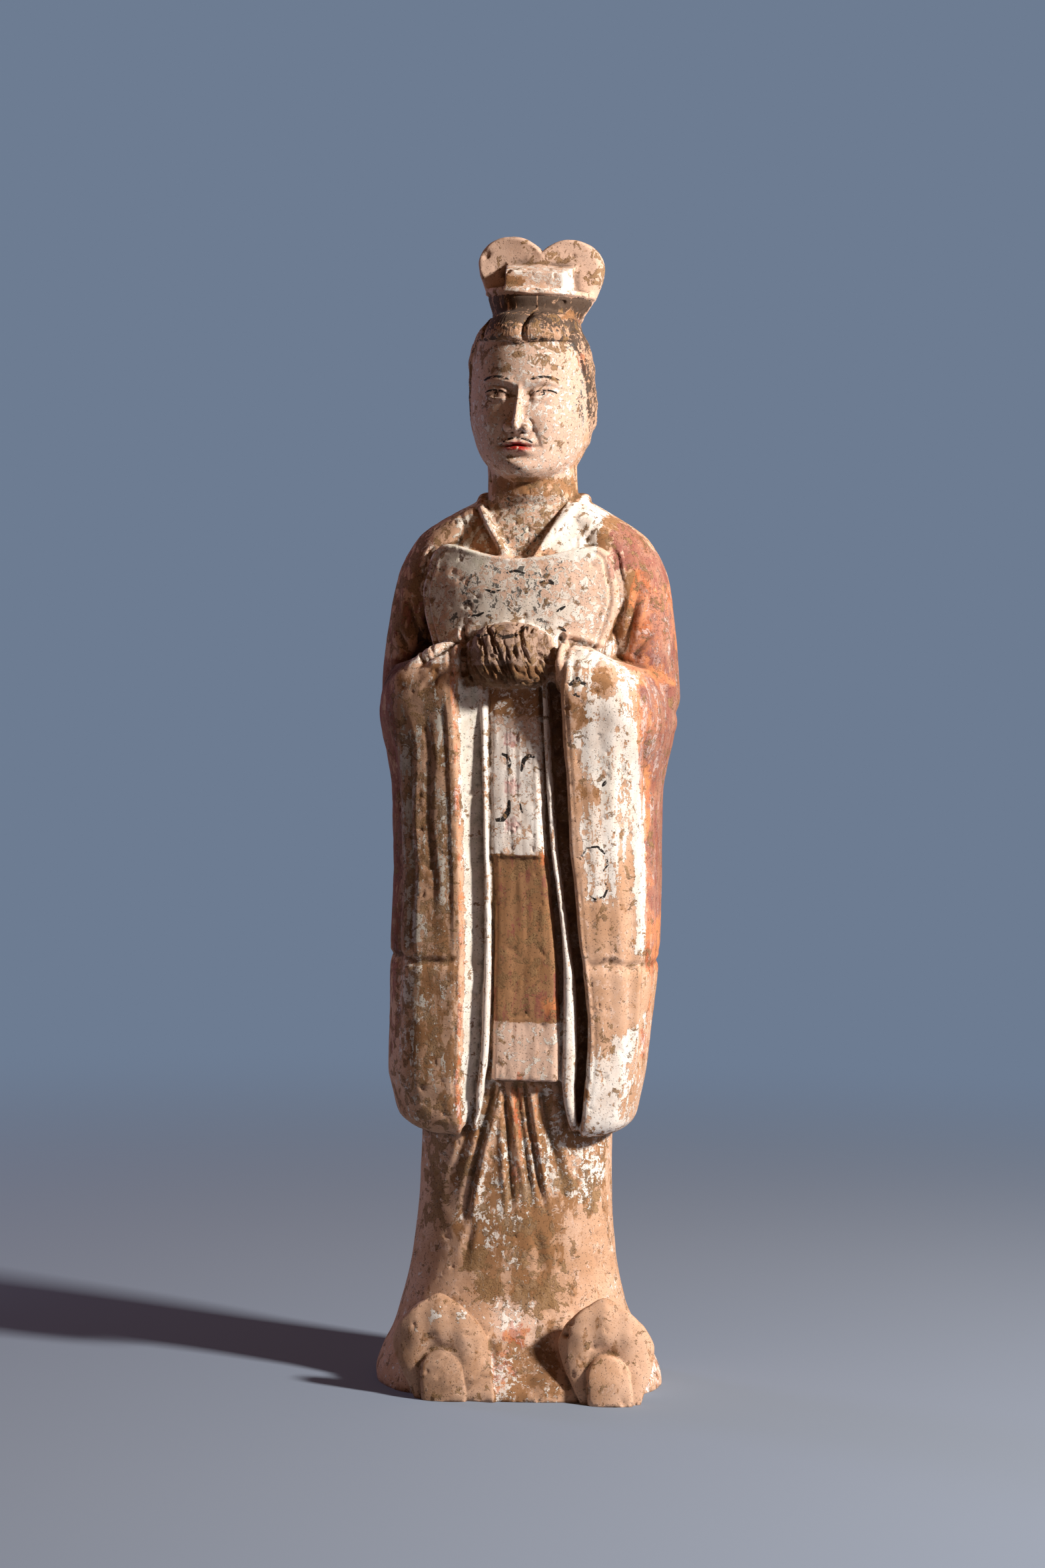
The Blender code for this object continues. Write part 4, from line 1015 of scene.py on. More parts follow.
def plate_rim(points):
    """The chest plate's raised rim with a line pressed inside it."""
    on_face, edge = on_chest_plate(points)
    sides = fade(np.abs(points[:, 0]), 50, 64)
    rim = 0.9 * bump(edge, 2.0, 1.8) - 1.3 * bump(edge, 4.9, 1.2) + 0.7 * bump(edge, 7.2, 1.3)
    return (rim * sides + 0.5 * bump(edge, 1.5, 1.6) * (1 - sides)) * on_face


def hand_gouges(points):
    """The rough wrapped hands, with upright gouges."""
    x, y, z = points.T
    level = fade(z, HAND_LEVEL - 26, HAND_LEVEL - 16) * (1 - fade(z, HAND_LEVEL + 22, HAND_LEVEL + 30))
    here = level * (1 - fade(np.abs(x), 33, 38)) * fade(-y, 66, 78)
    lean = points + np.column_stack([0.35 * (z - HAND_LEVEL), 0 * z, 0 * z])
    gouges = -3.6 * fade(cloudy(lean, (3.4, 12, 14), 41, 3), -0.05, 0.6)
    lumps = 1.8 * cloudy(points, (13, 13, 16), 43, 3)
    return (gouges + lumps) * here


def back_folds(points, normals):
    """Shallow upright folds down the back of the robe."""
    x, y, z = points.T
    behind = fade(normals[:, 1], 0.1, 0.5) * fade(y, 10, 30)
    below = (1 - fade(z, BACK_FOLDS_TOP - 35, BACK_FOLDS_TOP)) * fade(z, 15, 60)
    sway = 5 * np.sin(z / 90) + 2 * np.sin(z / 37 + 2)
    wave = np.cos((x + sway) / 7.5)
    return (1.6 * wave - 0.7 * np.abs(wave)) * behind * below


def eye(x, z):
    """One pair of eyes: the socket, the ball, the lid over it with its crease, and the lower lid."""
    side = np.abs(x)
    across = (side - EYE_X) / EYE_HALF_WIDTH
    level = z - EYE_LEVEL - 0.9 * across
    opening = np.clip(1 - across**2, 0, 1) ** 0.75
    upper, lower = 3.0 * opening, -2.7 * opening
    near = np.exp(-(np.abs(across) / 1.15) ** 6)
    socket = -5.2 * mound(side - 16.5, 12, z - EYE_LEVEL - 1, 7.0)
    ball_rise = 4.6 * np.exp(-((across / 0.98) ** 4) - (level / 5.4) ** 2)
    lid = 1.3 * fade(level - upper, -0.5, 0.6) * (1 - fade(level - upper, 2.2, 5.5)) * near
    crease = -1.2 * bump(level, upper + 3.4, 0.9) * near
    under = 0.9 * (1 - fade(level - lower, -0.6, 0.5)) * fade(level - lower, -5, -1.5) * near
    corner = -1.0 * mound(side - 8.8, 1.8, z - EYE_LEVEL + 1, 1.8)
    return socket + ball_rise + lid + crease + under + corner


def brow(x, z):
    """The brow's gentle ridge, the hollows of the temples and the sides of the nose's root."""
    side = np.abs(x)
    arch = BROW_LEVEL - 2.0 - 2.2 * ((side - 17) / 13) ** 2
    ridge = 2.3 * bump(z, arch, 3.4) * np.exp(-(((side - 17) / 15) ** 4))
    temples = -1.6 * mound(side - 41, 7, z - 796, 9)
    root = -1.6 * mound(side - 8.5, 3.2, z - EYE_LEVEL + 2, 6)
    return ridge + temples + root


def mouth(x, z):
    """Both lips, the line between them, the hollow above, the folds beside it and the chin."""
    side = np.abs(x)
    line = MOUTH_LEVEL + 1.1 * np.cos(x / 4.4) * bump(x, 0, 8) + 0.4 * fade(side, 7, 13)
    upper_lip = 3.0 * np.exp(-((x / 12) ** 4)) * bump(z, line + 2.6 - 0.7 * bump(x, 0, 2), 2.0)
    lower_lip = 3.6 * np.exp(-((x / 9.5) ** 4)) * bump(z, line - 3.1, 2.4)
    parting = -2.6 * np.exp(-((x / MOUTH_HALF_WIDTH) ** 4)) * bump(z, line, 0.8)
    corners = -1.6 * mound(side - MOUTH_HALF_WIDTH, 2.4, z - MOUTH_LEVEL, 2.8)
    under = -2.6 * mound(x, 11, z - MOUTH_LEVEL + 8.6, 2.8)
    philtrum = -1.1 * bump(x, 0, 1.7) * bump(z, NOSE_LEVEL - 5.0, 2.8)
    chin = 4.0 * mound(x, 12, z - CHIN_LEVEL - 8, 6.5)
    beside_x = 12.5 + 0.32 * (NOSE_LEVEL + 2 - z)
    beside = -1.5 * bump(side, beside_x, 2.2) * within(z, MOUTH_LEVEL - 1, NOSE_LEVEL + 3, 3)
    return upper_lip + lower_lip + parting + corners + under + philtrum + chin + beside


def nostrils(x, z):
    """The two openings under the tip of the nose, and the crease round each wing."""
    side = np.abs(x)
    holes = -2.8 * mound(side - 4.1, 1.7, z - NOSE_LEVEL + 0.4, 1.3)
    reach = np.hypot(side - 6.0, (z - NOSE_LEVEL - 3.6) * 0.95)
    wing = -1.3 * bump(reach, 6.2, 1.1) * fade(side, 7, 9.5)
    return holes + wing


def face(points, normals):
    """How far the face stands forward of the plain head."""
    x, _, z = points.T
    side = np.abs(x)
    cheeks = 2.8 * mound(side - 25, 10, z - NOSE_LEVEL - 7, 11)
    jaw = -1.4 * mound(side - 33, 7, z - MOUTH_LEVEL - 3, 9)
    level = fade(z, CHIN_LEVEL - 6, CHIN_LEVEL + 4) * (1 - fade(z, BROW_LEVEL + 12, BROW_LEVEL + 24))
    forward = fade(-normals[:, 1], 0.2, 0.6)
    features = eye(x, z) + brow(x, z) + mouth(x, z) + nostrils(x, z) + cheeks + jaw
    return features * level * forward * fade(-points[:, 1], 22, 34)


def ears(points):
    """The fold of each ear's rim and the hollow inside it."""
    side, y, z = np.abs(points[:, 0]), points[:, 1], points[:, 2]
    reach = np.hypot((y - 1) / 8.2, (z - EYE_LEVEL + 7) / 16)
    here = fade(side, 45.5, 47.5) * (1 - fade(reach, 1.05, 1.2))
    return here * (-2.2 * np.exp(-((reach / 0.62) ** 4)) + 0.8 * bump(reach, 0.45, 0.16))


def hair_edge(points):
    """How far inside the hair's edge each point of the head lies: above the forehead, behind the temples."""
    x, y, z = points.T
    on_top = z - HAIRLINE_LEVEL + 3.5 * bump(x, 0, 8)
    at_side = y - TEMPLE_Y + 0.35 * (z - TEMPLE_LEVEL)
    return np.where(at_side > 0, at_side, np.maximum(on_top, at_side))


def hair_relief(points):
    """The hair's raised edge, the two rolls over the forehead with the parting between them, and strands
    combed up and back."""
    x, y, z = points.T
    edge = hair_edge(points)
    level = fade(z, HAIR_FOOT, HAIR_FOOT + 8) * (1 - fade(z, CAP_FOOT + 2, CAP_FOOT + 6))
    step = 1.5 * fade(edge, -0.8, 0.8)
    above = fade(z, HAIRLINE_LEVEL, HAIRLINE_LEVEL + 4) * fade(-y, 15, 35)
    across = (np.abs(x - PARTING_X) - ROLL_HALF_WIDTH) / ROLL_HALF_WIDTH
    rolls = 4.2 * (np.sqrt(np.clip(1 - across**2, 0, 1)) - 0.75) * (np.abs(across) < 1.0)
    parting = -2.2 * bump(x, PARTING_X, 2.2)
    drift = 1.3 * cloudy(points, (9, 9, 14), 5, 2)
    on_top = fade(z, HAIRLINE_LEVEL - 4, HAIRLINE_LEVEL + 2)
    phase = on_top * (x + 0.12 * x * (z - HAIRLINE_LEVEL) / 10) + (1 - on_top) * (z * 0.9 - y * 0.42)
    wave = np.sin((phase + drift) * 2 * math.pi / 3.7)
    strands = 0.45 * (1 - np.abs(wave)) * fade(edge, 0.5, 3) * fade(z, HAIR_FOOT + 2, HAIR_FOOT + 12)
    locks = 0.3 * np.sin((phase + drift) * 2 * math.pi / 13.1 + 1) * fade(edge, 1, 5) * (1 - on_top)
    return (step + (rolls + parting) * above + strands + locks) * level


def cap_relief(points):
    """The lobes' dished faces inside a thin rim, and the fine raised line round the band's upper edge."""
    x, y, z = points.T
    reach = np.hypot((np.abs(x) - LOBE_MIDDLE) / (CAP_HALF_WIDTH - LOBE_MIDDLE), (z - LOBE_LEVEL) / 22)
    level = fade(z, LOBE_FOOT - 6, LOBE_FOOT + 2)
    on_face = (1 - fade(y, LOBE_FACE + 6, LOBE_FACE + 9)) * level * fade(y, -16, -12)
    dish = 0.7 * bump(reach, 0.93, 0.05) - 1.3 * (1 - fade(reach, 0.3, 0.9))
    line = 0.9 * bump(z, CAP_FOOT + 21.5, 1.3) - 0.8 * bump(z, CAP_FOOT + 18.6, 1.1)
    foot = -0.8 * bump(z, CAP_FOOT + 2.5, 1.4)
    band = (line + foot) * fade(np.hypot(x, y), 24, 30) * fade(-y, -16, -6)
    return dish * on_face + band


def apron_relief(points):
    """The apron's fine upright grain."""
    grain = 0.35 * cloudy(points, (2.6, 6, 40), 61, 2) + 0.4 * cloudy(points, (9, 9, 60), 67, 2)
    return on_apron(points) * grain


def sleeve_lip_relief(points):
    """The border along each sleeve's front edge, marked off by a shallow line."""
    off_edge, y, z = from_mouth(points), points[:, 1], points[:, 2]
    here = fade(-y, 64, 70) * fade(z, SLEEVE_FOOT + 13, SLEEVE_FOOT + 31)
    here = here * (1 - fade(z, MOUTH_TOP - 22, MOUTH_TOP + 4))
    return here * (-0.7 * bump(off_edge, 5.5, 1.1) + 0.4 * bump(off_edge, 3.0, 1.6))


def shoe_relief(points):
    """The toe plates: a soft ridge down the middle above the tongue, and faint rims."""
    x, y, z = points.T
    across = (np.abs(x - SHOE_SHIFT) - SHOE_X) / SHOE_HALF_WIDTH
    here = fade(-y, 70, 80) * (1 - fade(z, SHOE_TOP - 6, SHOE_TOP + 2))
    here = here * fade(z, TONGUE_TOP + 2, TONGUE_TOP + 10)
    middle = 1.2 * bump(across, 0.0, 0.12) - 0.7 * bump(across, 0.3, 0.12) - 0.7 * bump(across, -0.3, 0.12)
    rim = 0.6 * bump(np.abs(across), 0.8, 0.07) * fade(z, 20, 30) * fade(-y, 66, 74)
    return middle * here + rim


def toe_fall(points):
    """How far back the toe plate and tongue at -X stand: turned a little, with the inner side foremost."""
    x, y, z = points.T
    inner_edge = SHOE_SHIFT - SHOE_X + SHOE_HALF_WIDTH
    here = fade(-y, 66, 80) * (1 - fade(z, SHOE_TOP, SHOE_TOP + 6)) * fade(inner_edge - x, -4, 0)
    return (TOE_FALL * np.clip(inner_edge - x, 0, 2 * SHOE_HALF_WIDTH) - TOE_REACH) * here


def roughness(points, normals):
    """The unevenness of hand-pressed clay, the ledges left by flaked paint and the pits of burial."""
    z = points[:, 2]
    front = 0.35 + 0.65 * fade(-normals[:, 1], -0.3, 0.3)
    below_hair = 1 - fade(z, HAIRLINE_LEVEL - 7, HAIRLINE_LEVEL + 3)
    calm = 1 - 0.6 * fade(z, CHIN_LEVEL - 4, CHIN_LEVEL + 6) * below_hair
    swell = 0.45 * cloudy(points, (34, 34, 46), 11, 2)
    dents = 0.26 * cloudy(points, (8, 8, 10), 13, 3)
    pits = -0.8 * fade(cloudy(points, (5.5, 5.5, 6.5), 17, 2), 0.66, 1.0)
    return (swell + dents + pits) * front * calm


def chips(mesh, points):
    """Small bites out of the thin edges of cap, mouths, hem and toe plates, fewer from chest to hair."""
    edges = fade(standing_out(mesh, 3), 0.35, 0.9)
    bites = fade(cloudy(points, (7, 7, 9), 23, 3), 0.25, 0.8)
    share = 1 - 0.7 * fade(points[:, 2], 560, 580) * (1 - fade(points[:, 2], CAP_FOOT - 4, CAP_FOOT + 6))
    return -2.0 * edges * bites * share


def broken_corners(points):
    """Larger losses: the inner corner of the toe plate at +X, the rim of the lobe at -X and two corners of
    the cap's box. Each is a middle, its reach and the way its points move."""
    losses = (
        ((34.5, -98, 56), 9, (3.0, 4.0, -5.0)),
        ((40, -98, 64), 7, (2.5, 3.0, -3.5)),
        ((-46, -2, 893), 6, (1.8, 1.5, -1.8)),
        ((-22, -34, 879), 4, (1.0, 1.5, -1.8)),
        ((24, -34, 853), 4, (-0.5, 1.6, 1.0)),
    )
    moved = points.copy()
    for middle, reach, way in losses:
        distance = np.linalg.norm(points - middle, axis=1)
        strength = 1 - fade(distance, reach * 0.45, reach)
        moved += strength[:, None] * np.array(way)
    return moved


def finer(mesh, where, rounds):
    """The skin's edges cut in two where both ends are chosen, and that part evened out."""
    skin = bmesh.new()
    skin.from_mesh(mesh)
    skin.verts.ensure_lookup_table()
    chosen = [edge for edge in skin.edges if where[edge.verts[0].index] and where[edge.verts[1].index]]
    made = bmesh.ops.subdivide_edges(skin, edges=chosen, cuts=1, use_grid_fill=True)
    fresh = [item for item in made["geom_inner"] if isinstance(item, bmesh.types.BMVert)]
    for _ in range(rounds):
        bmesh.ops.smooth_vert(
            skin, verts=fresh, factor=0.5, use_axis_x=True, use_axis_y=True, use_axis_z=True
        )
    bmesh.ops.triangulate(skin, faces=skin.faces)
    skin.to_mesh(mesh)
    skin.free()


def in_fine_detail(points):
    """True on the face, the front of the hair and cap, the collar and the hands."""
    x, y, z = points.T
    head_front = (z > CHIN_LEVEL - 4) & (y < -16)
    fists = (np.abs(z - HAND_LEVEL) < 32) & (np.abs(x) < 42) & (y < -66)
    at_collar = (z > NECKLINE_FOOT - 8) & (z < NECKLINE_TOP + 4)
    collar_front = at_collar & (np.abs(x) < 50) & (y < -20)
    return head_front | fists | collar_front


def press(mesh):
    """Every fold, feature and chip pressed into the fused skin."""
    points, normals = read_skin(mesh)
    forward = in_front(points, normals)
    heights = skirt_folds(points) + arm_folds(points) + forearm_folds(points) + plate_rim(points)
    heights = (heights + hand_gouges(points) + apron_relief(points) + sleeve_lip_relief(points)) * forward
    heights += sleeve_folds(points, normals) + back_folds(points, normals) + hair_relief(points)
    heights += cap_relief(points) + shoe_relief(points) + ears(points) + roughness(points, normals)
    heights += chips(mesh, points)
    moved = points + normals * heights[:, None]
    moved[:, 1] -= face(points, normals) + collar(points) * forward
    moved[:, 1] += toe_fall(points)
    write_skin(mesh, broken_corners(moved))


def note_edges_and_hollows(mesh):
    """How deep each point lies in a hollow and how far it stands out on an edge, kept while faces are taken
    away."""
    for name, values in (("hollow", -standing_out(mesh, 24)), ("edge", standing_out(mesh, 4))):
        layer = mesh.attributes.new(name, "FLOAT", "POINT")
        layer.data.foreach_set("value", values.astype(np.float32))


def noted_edges_and_hollows(mesh):
    """What note_edges_and_hollows kept: depth in a hollow and height on an edge."""
    found = []
    for name in ("hollow", "edge"):
        values = np.zeros(len(mesh.vertices), np.float32)
        mesh.attributes[name].data.foreach_get("value", values)
        found.append(values.astype(float))
    return found


def thin_out(figure):
    """Fewer faces, most of them kept where the skin bends most."""
    count = sum(len(face.vertices) - 2 for face in figure.data.polygons)
    reduce = figure.modifiers.new("thin out", "DECIMATE")
    reduce.ratio = min(1.0, SKIN_TRIANGLES / count)


def sharpen_marks(figure):
    """A finer skin under the strokes of ink and the rosettes, so that their edges stay crisp."""
    for _ in range(2):
        points, _ = read_skin(figure.data)
        x, y, z = points.T
        on_rosette = [np.hypot(x - ROSETTE_X, z - level) < ROSETTE_REACH for level in ROSETTE_LEVELS]
        near = ((brush_marks(points) > -2.5) | np.any(on_rosette, axis=0)) & (y < -40)
        finer(figure.data, near, 0)


def cut_foot(figure):
    """The underside cut flat at z = 0."""
    skin = bmesh.new()
    skin.from_mesh(figure.data)
    everything = skin.verts[:] + skin.edges[:] + skin.faces[:]
    bmesh.ops.bisect_plane(
        skin, geom=everything, dist=1e-6, plane_co=(0, 0, 0), plane_no=(0, 0, 1), clear_inner=True
    )
    rim = [edge for edge in skin.edges if edge.is_boundary]
    bmesh.ops.contextual_create(skin, geom=rim)
    bmesh.ops.triangulate(skin, faces=skin.faces)
    bmesh.ops.recalc_face_normals(skin, faces=skin.faces)
    skin.to_mesh(figure.data)
    skin.free()


def stand(mesh, points):
    """The figure posed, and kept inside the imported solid's box."""
    low, high = np.array(CAD_BOX[0]) / UNIT, np.array(CAD_BOX[1]) / UNIT
    write_skin(mesh, np.clip(posed(points), low, high))


# What the burial left of each coat, with painted shade laid as grime in places: coat, change in its cover,
#  x from and to, z from and to, softness.
FRONT_PATCHES = (
    # The sleeve at +X: white streaks, ochre losses, and a white strip along the ridge, slip and painted
    # highlight,
    #  beside the orange and maroon side.
    ("slip", 0.42, 50, 96, 512, 590, 9),
    ("slip", -0.6, 68, 84, 552, 575, 3),
    ("slip", -0.8, 51, 64, 524, 552, 3),
    ("ochre", 0.7, 51, 66, 524, 552, 4),
    ("ochre", 0.5, 68, 84, 552, 575, 4),
    ("slip", -0.35, 38, 52, 205, 600, 4),
    ("slip", 0.38, 56, 90, 425, 520, 7),
    ("slip", -0.8, 50, 68, 463, 479, 3),
    ("ochre", 0.7, 50, 68, 463, 479, 4),
    ("cool", 0.25, 60, 90, 455, 500, 8),
    ("slip", 0.3, 52, 80, 388, 430, 6),
    ("slip", 0.95, 92.5, 98.5, 345, 528, 1.5),
    ("slip", -0.25, 50, 90, 345, 385, 8),
    ("earth", 0.35, 60, 80, 354, 384, 5),
    ("ochre", 0.4, 88, 104, 338, 362, 5),
    ("slip", -0.45, 46, 100, 292, 338, 6),
    ("slip", 0.6, 78, 95, 266, 292, 4),
    ("earth", 0.4, 68, 78, 270, 288, 3),
    ("slip", 0.5, 54, 86, 203, 268, 6),
    ("ochre", 0.2, 92, 104, 255, 335, 5),
    ("red", 0.9, 98.5, 125, 332, 600, 1.6),
    ("maroon", -0.6, 97, 112, 515, 585, 5),
    ("slip", 0.16, 96, 112, 480, 585, 5),
    ("maroon", 0.95, 101.5, 125, 380, 585, 3),
    ("grime", 0.2, 103, 125, 400, 585, 4),
    ("red", 0.4, 97, 125, 240, 345, 12),
    ("maroon", -0.4, 97, 125, 255, 345, 8),
    # The sleeve at -X: darker, with grime and painted shade between long grey-white streaks, and a maroon side
    #  darkened as painted shade.
    ("slip", 0.2, -96, -45, 345, 560, 10),
    ("cool", 0.5, -96, -45, 205, 560, 8),
    ("slip", 0.3, -87, -77, 300, 515, 3),
    ("slip", 0.22, -59, -50, 380, 560, 3),
    ("earth", 0.3, -94, -46, 340, 555, 8),
    ("earth", 0.24, -100, -46, 205, 335, 10),
    ("grime", 0.5, -97, -44, 345, 550, 8),
    ("red", 0.7, -125, -91, 345, 575, 3),
    ("maroon", 0.9, -125, -88, 255, 600, 3),
    ("red", 0.5, -125, -93, 262, 335, 4),
    ("slip", 0.26, -98, -76, 210, 335, 6),
    ("slip", 0.14, -76, -44, 215, 335, 6),
    ("grime", 0.42, -80, -44, 222, 338, 7),
    ("ochre", 0.35, -78, -44, 222, 338, 7),
    ("grime", 0.25, -125, -92, 345, 600, 5),
    ("slip", -0.3, -104, -84, 204, 238, 6),
    # The upper arms: maroon over the shoulders, orange below at +X, bare clay in the bends.
    ("red", 0.75, 72, 125, 640, 690, 4),
    ("maroon", 0.85, 70, 125, 634, 695, 7),
    ("red", 0.8, 84, 125, 578, 645, 5),
    ("maroon", 0.1, 84, 125, 575, 628, 8),
    ("red", -0.5, 74, 86, 585, 628, 5),
    ("ochre", 0.5, 72, 90, 582, 634, 6),
    ("slip", 0.14, 88, 125, 575, 632, 6),
    ("red", 0.5, -125, -72, 585, 690, 6),
    ("maroon", 0.8, -125, -70, 585, 690, 6),
    ("ochre", 0.5, -100, -72, 586, 640, 8),
    ("earth", 0.35, -125, -70, 580, 680, 8),
    # The collar's panels.
    ("slip", 0.42, -60, -22, 646, 700, 4),
    ("cool", 0.5, -60, -22, 646, 700, 4),
    ("ochre", 0.2, -56, -32, 655, 696, 5),
    ("slip", 0.8, 16, 62, 655, 704, 4),
    ("slip", -0.8, 62, 90, 655, 690, 2.5),
    ("ochre", 0.7, 62, 72, 655, 700, 4),
    # The chest plate, brightest low in the middle.
    ("slip", 0.25, -45, 60, 585, 625, 12),
    ("cool", 0.35, -74, 78, 600, 660, 12),
    ("slip", -0.2, 45, 80, 585, 660, 8),
    ("black", 0.30, -52, -20, 600, 645, 8),
    ("black", 0.28, -18, 42, 606, 652, 8),
    # The skirt: flakes between the pleats, red lines, crusts of earth, a smooth peach area.
    ("slip", 0.2, -40, 48, 132, 246, 12),
    ("ochre", 0.45, -44, 50, 120, 246, 14),
    ("cool", 0.4, -20, 30, 150, 240, 12),
    ("red", 0.55, -3, 5, 150, 246, 3),
    ("red", 0.3, 12, 18, 180, 246, 3),
    ("earth", 0.75, -44, -31, 163, 184, 3),
    ("earth", 0.8, -39, -22, 96, 114, 3),
    ("earth", 0.7, -31, -8, 74, 88, 4),
    ("earth", 0.7, 1, 24, 58, 80, 5),
    ("earth", 0.6, 20, 46, 66, 86, 5),
    ("earth", 0.7, 33, 47, 153, 172, 4),
    ("earth", 0.6, 56, 68, 145, 170, 4),
    ("earth", 0.65, -70, -53, 126, 193, 5),
    ("earth", 0.35, -30, 10, 118, 165, 9),
    ("slip", -0.5, 18, 70, 62, 148, 10),
    ("slip", -0.4, -66, -40, 60, 140, 10),
    ("ochre", 0.5, -35, 42, 68, 137, 10),
    ("grime", 0.2, -35, 42, 68, 137, 12),
    ("earth", 0.3, -5, 38, 80, 135, 8),
    ("slip", 0.1, -32, 12, 96, 140, 8),
    ("slip", 0.25, 40, 75, 60, 84, 6),
    ("slip", 0.25, 50, 72, 150, 200, 8),
    ("ochre", 0.4, 40, 74, 150, 205, 8),
    # The foot between the shoes, darkened as painted shade, most where the toe plate at +X casts its shadow.
    ("slip", 0.3, -12, 17, 50, 73, 4),
    ("veil", 0.5, -14, 20, 46, 74, 5),
    ("red", 0.8, -8, 12, 38, 54, 4),
    ("red", 0.5, -28, -7, 8, 34, 5),
    ("slip", 0.4, -28, -8, 4, 30, 5),
    ("ochre", 0.5, -20, 30, 20, 50, 8),
    ("grime", 0.5, 6, 34, 4, 50, 8),
    ("grime", 0.25, -30, 20, 0, 48, 6),
    ("red", 0.4, 95, 120, 4, 32, 5),
    ("slip", 0.4, 88, 116, 4, 40, 6),
    ("ochre", 0.6, -30, 34, 0, 26, 6),
)

# The same for the cap, the hair and the shoe at -X.
HEAD_PATCHES = (
    ("ochre", 0.9, -25, -8, 866, 873, 3),
    ("slip", -0.5, -25, -8, 867, 874, 3),
    ("veil", -0.75, -25, -8, 867, 874, 3),
    ("slip", 0.3, 20, 27, 858, 880, 2),
    ("earth", 0.5, -22, -10, 866, 870, 2),
    ("ochre", 0.9, 26, 40, 839, 847, 2),
    ("red", 0.35, 26, 40, 839, 847, 2),
    ("black", -0.5, 25, 40, 839, 848, 2),
    ("red", 0.5, 41, 47, 800, 814, 2),
    ("black", 0.25, 38, 52, 760, 812, 5),
    ("black", 0.3, 32, 50, 815, 835, 4),
    ("slip", 0.35, -20, 26, 822, 828, 2),
    ("earth", 0.4, -50, -30, 855, 866, 4),
    ("black", 0.3, 32, 50, 838, 862, 4),
    # Pale spots on the toe plate at -X, and painted shade darkening its tongue.
    ("grime", 0.3, -66, -36, 0, 42, 5),
    ("slip", 0.5, -68, -55, 59, 71, 3),
    ("slip", 0.5, -45, -38, 60, 68, 2),
    ("slip", 0.5, -79, -74, 51, 57, 2),
    ("slip", 0.45, -74, -68, 35, 42, 2),
)

# Short strokes of ink: the path as x and z, and the half width at its thickest.
STROKES = (
    ([(-9, 501), (-4, 499), (-2, 494), (-3, 488)], 1.6),
    ([(7, 488), (9, 496), (13, 500), (17, 499)], 1.8),
    ([(-14, 449), (-8, 450), (-4, 456), (-3, 464)], 2.2),
    ([(5.5, 463), (6, 459), (7.5, 455)], 1.0),
    ([(-10, 595), (-2, 591), (8, 593), (14, 600)], 1.6),
    ([(20, 634), (27, 635), (32, 633)], 1.8),
    ([(-24, 628), (-16, 626), (-9, 628)], 1.2),
    ([(-36, 608), (-30, 607), (-24, 610)], 1.3),
    ([(-8, 641), (0, 643), (8, 641)], 1.1),
    ([(34, 612), (40, 616)], 1.3),
    ([(-30, 594), (-22, 592), (-14, 593)], 1.2),
    ([(36, 600), (41, 597)], 1.4),
    ([(50, 556), (56, 560), (63, 556)], 2.2),
    ([(52, 549), (57, 547)], 1.5),
    ([(54, 424), (58, 430), (66, 431), (72, 425), (73, 417), (69, 412)], 1.0),
    ([(57, 394), (62, 390), (69, 392), (72, 399), (69, 405)], 1.0),
    ([(71, 478), (74, 482)], 1.4),
)

# The three rosettes down the middle of the apron.
ROSETTE_X = -1
ROSETTE_LEVELS = (512, 475, 446)
ROSETTE_REACH = 9

# How much of each coat there is before the parts are looked at.
FIRST_COVERS = {
    "slip": 0.0,
    "red": 0.0,
    "ochre": 0.0,
    "cool": 0.0,
    "black": 0.0,
    "earth": 0.0,
    "grime": 0.0,
    "rose": 0.0,
    "fleck": 0.38,
    "maroon": 0.3,
    "veil": 0.35,
}


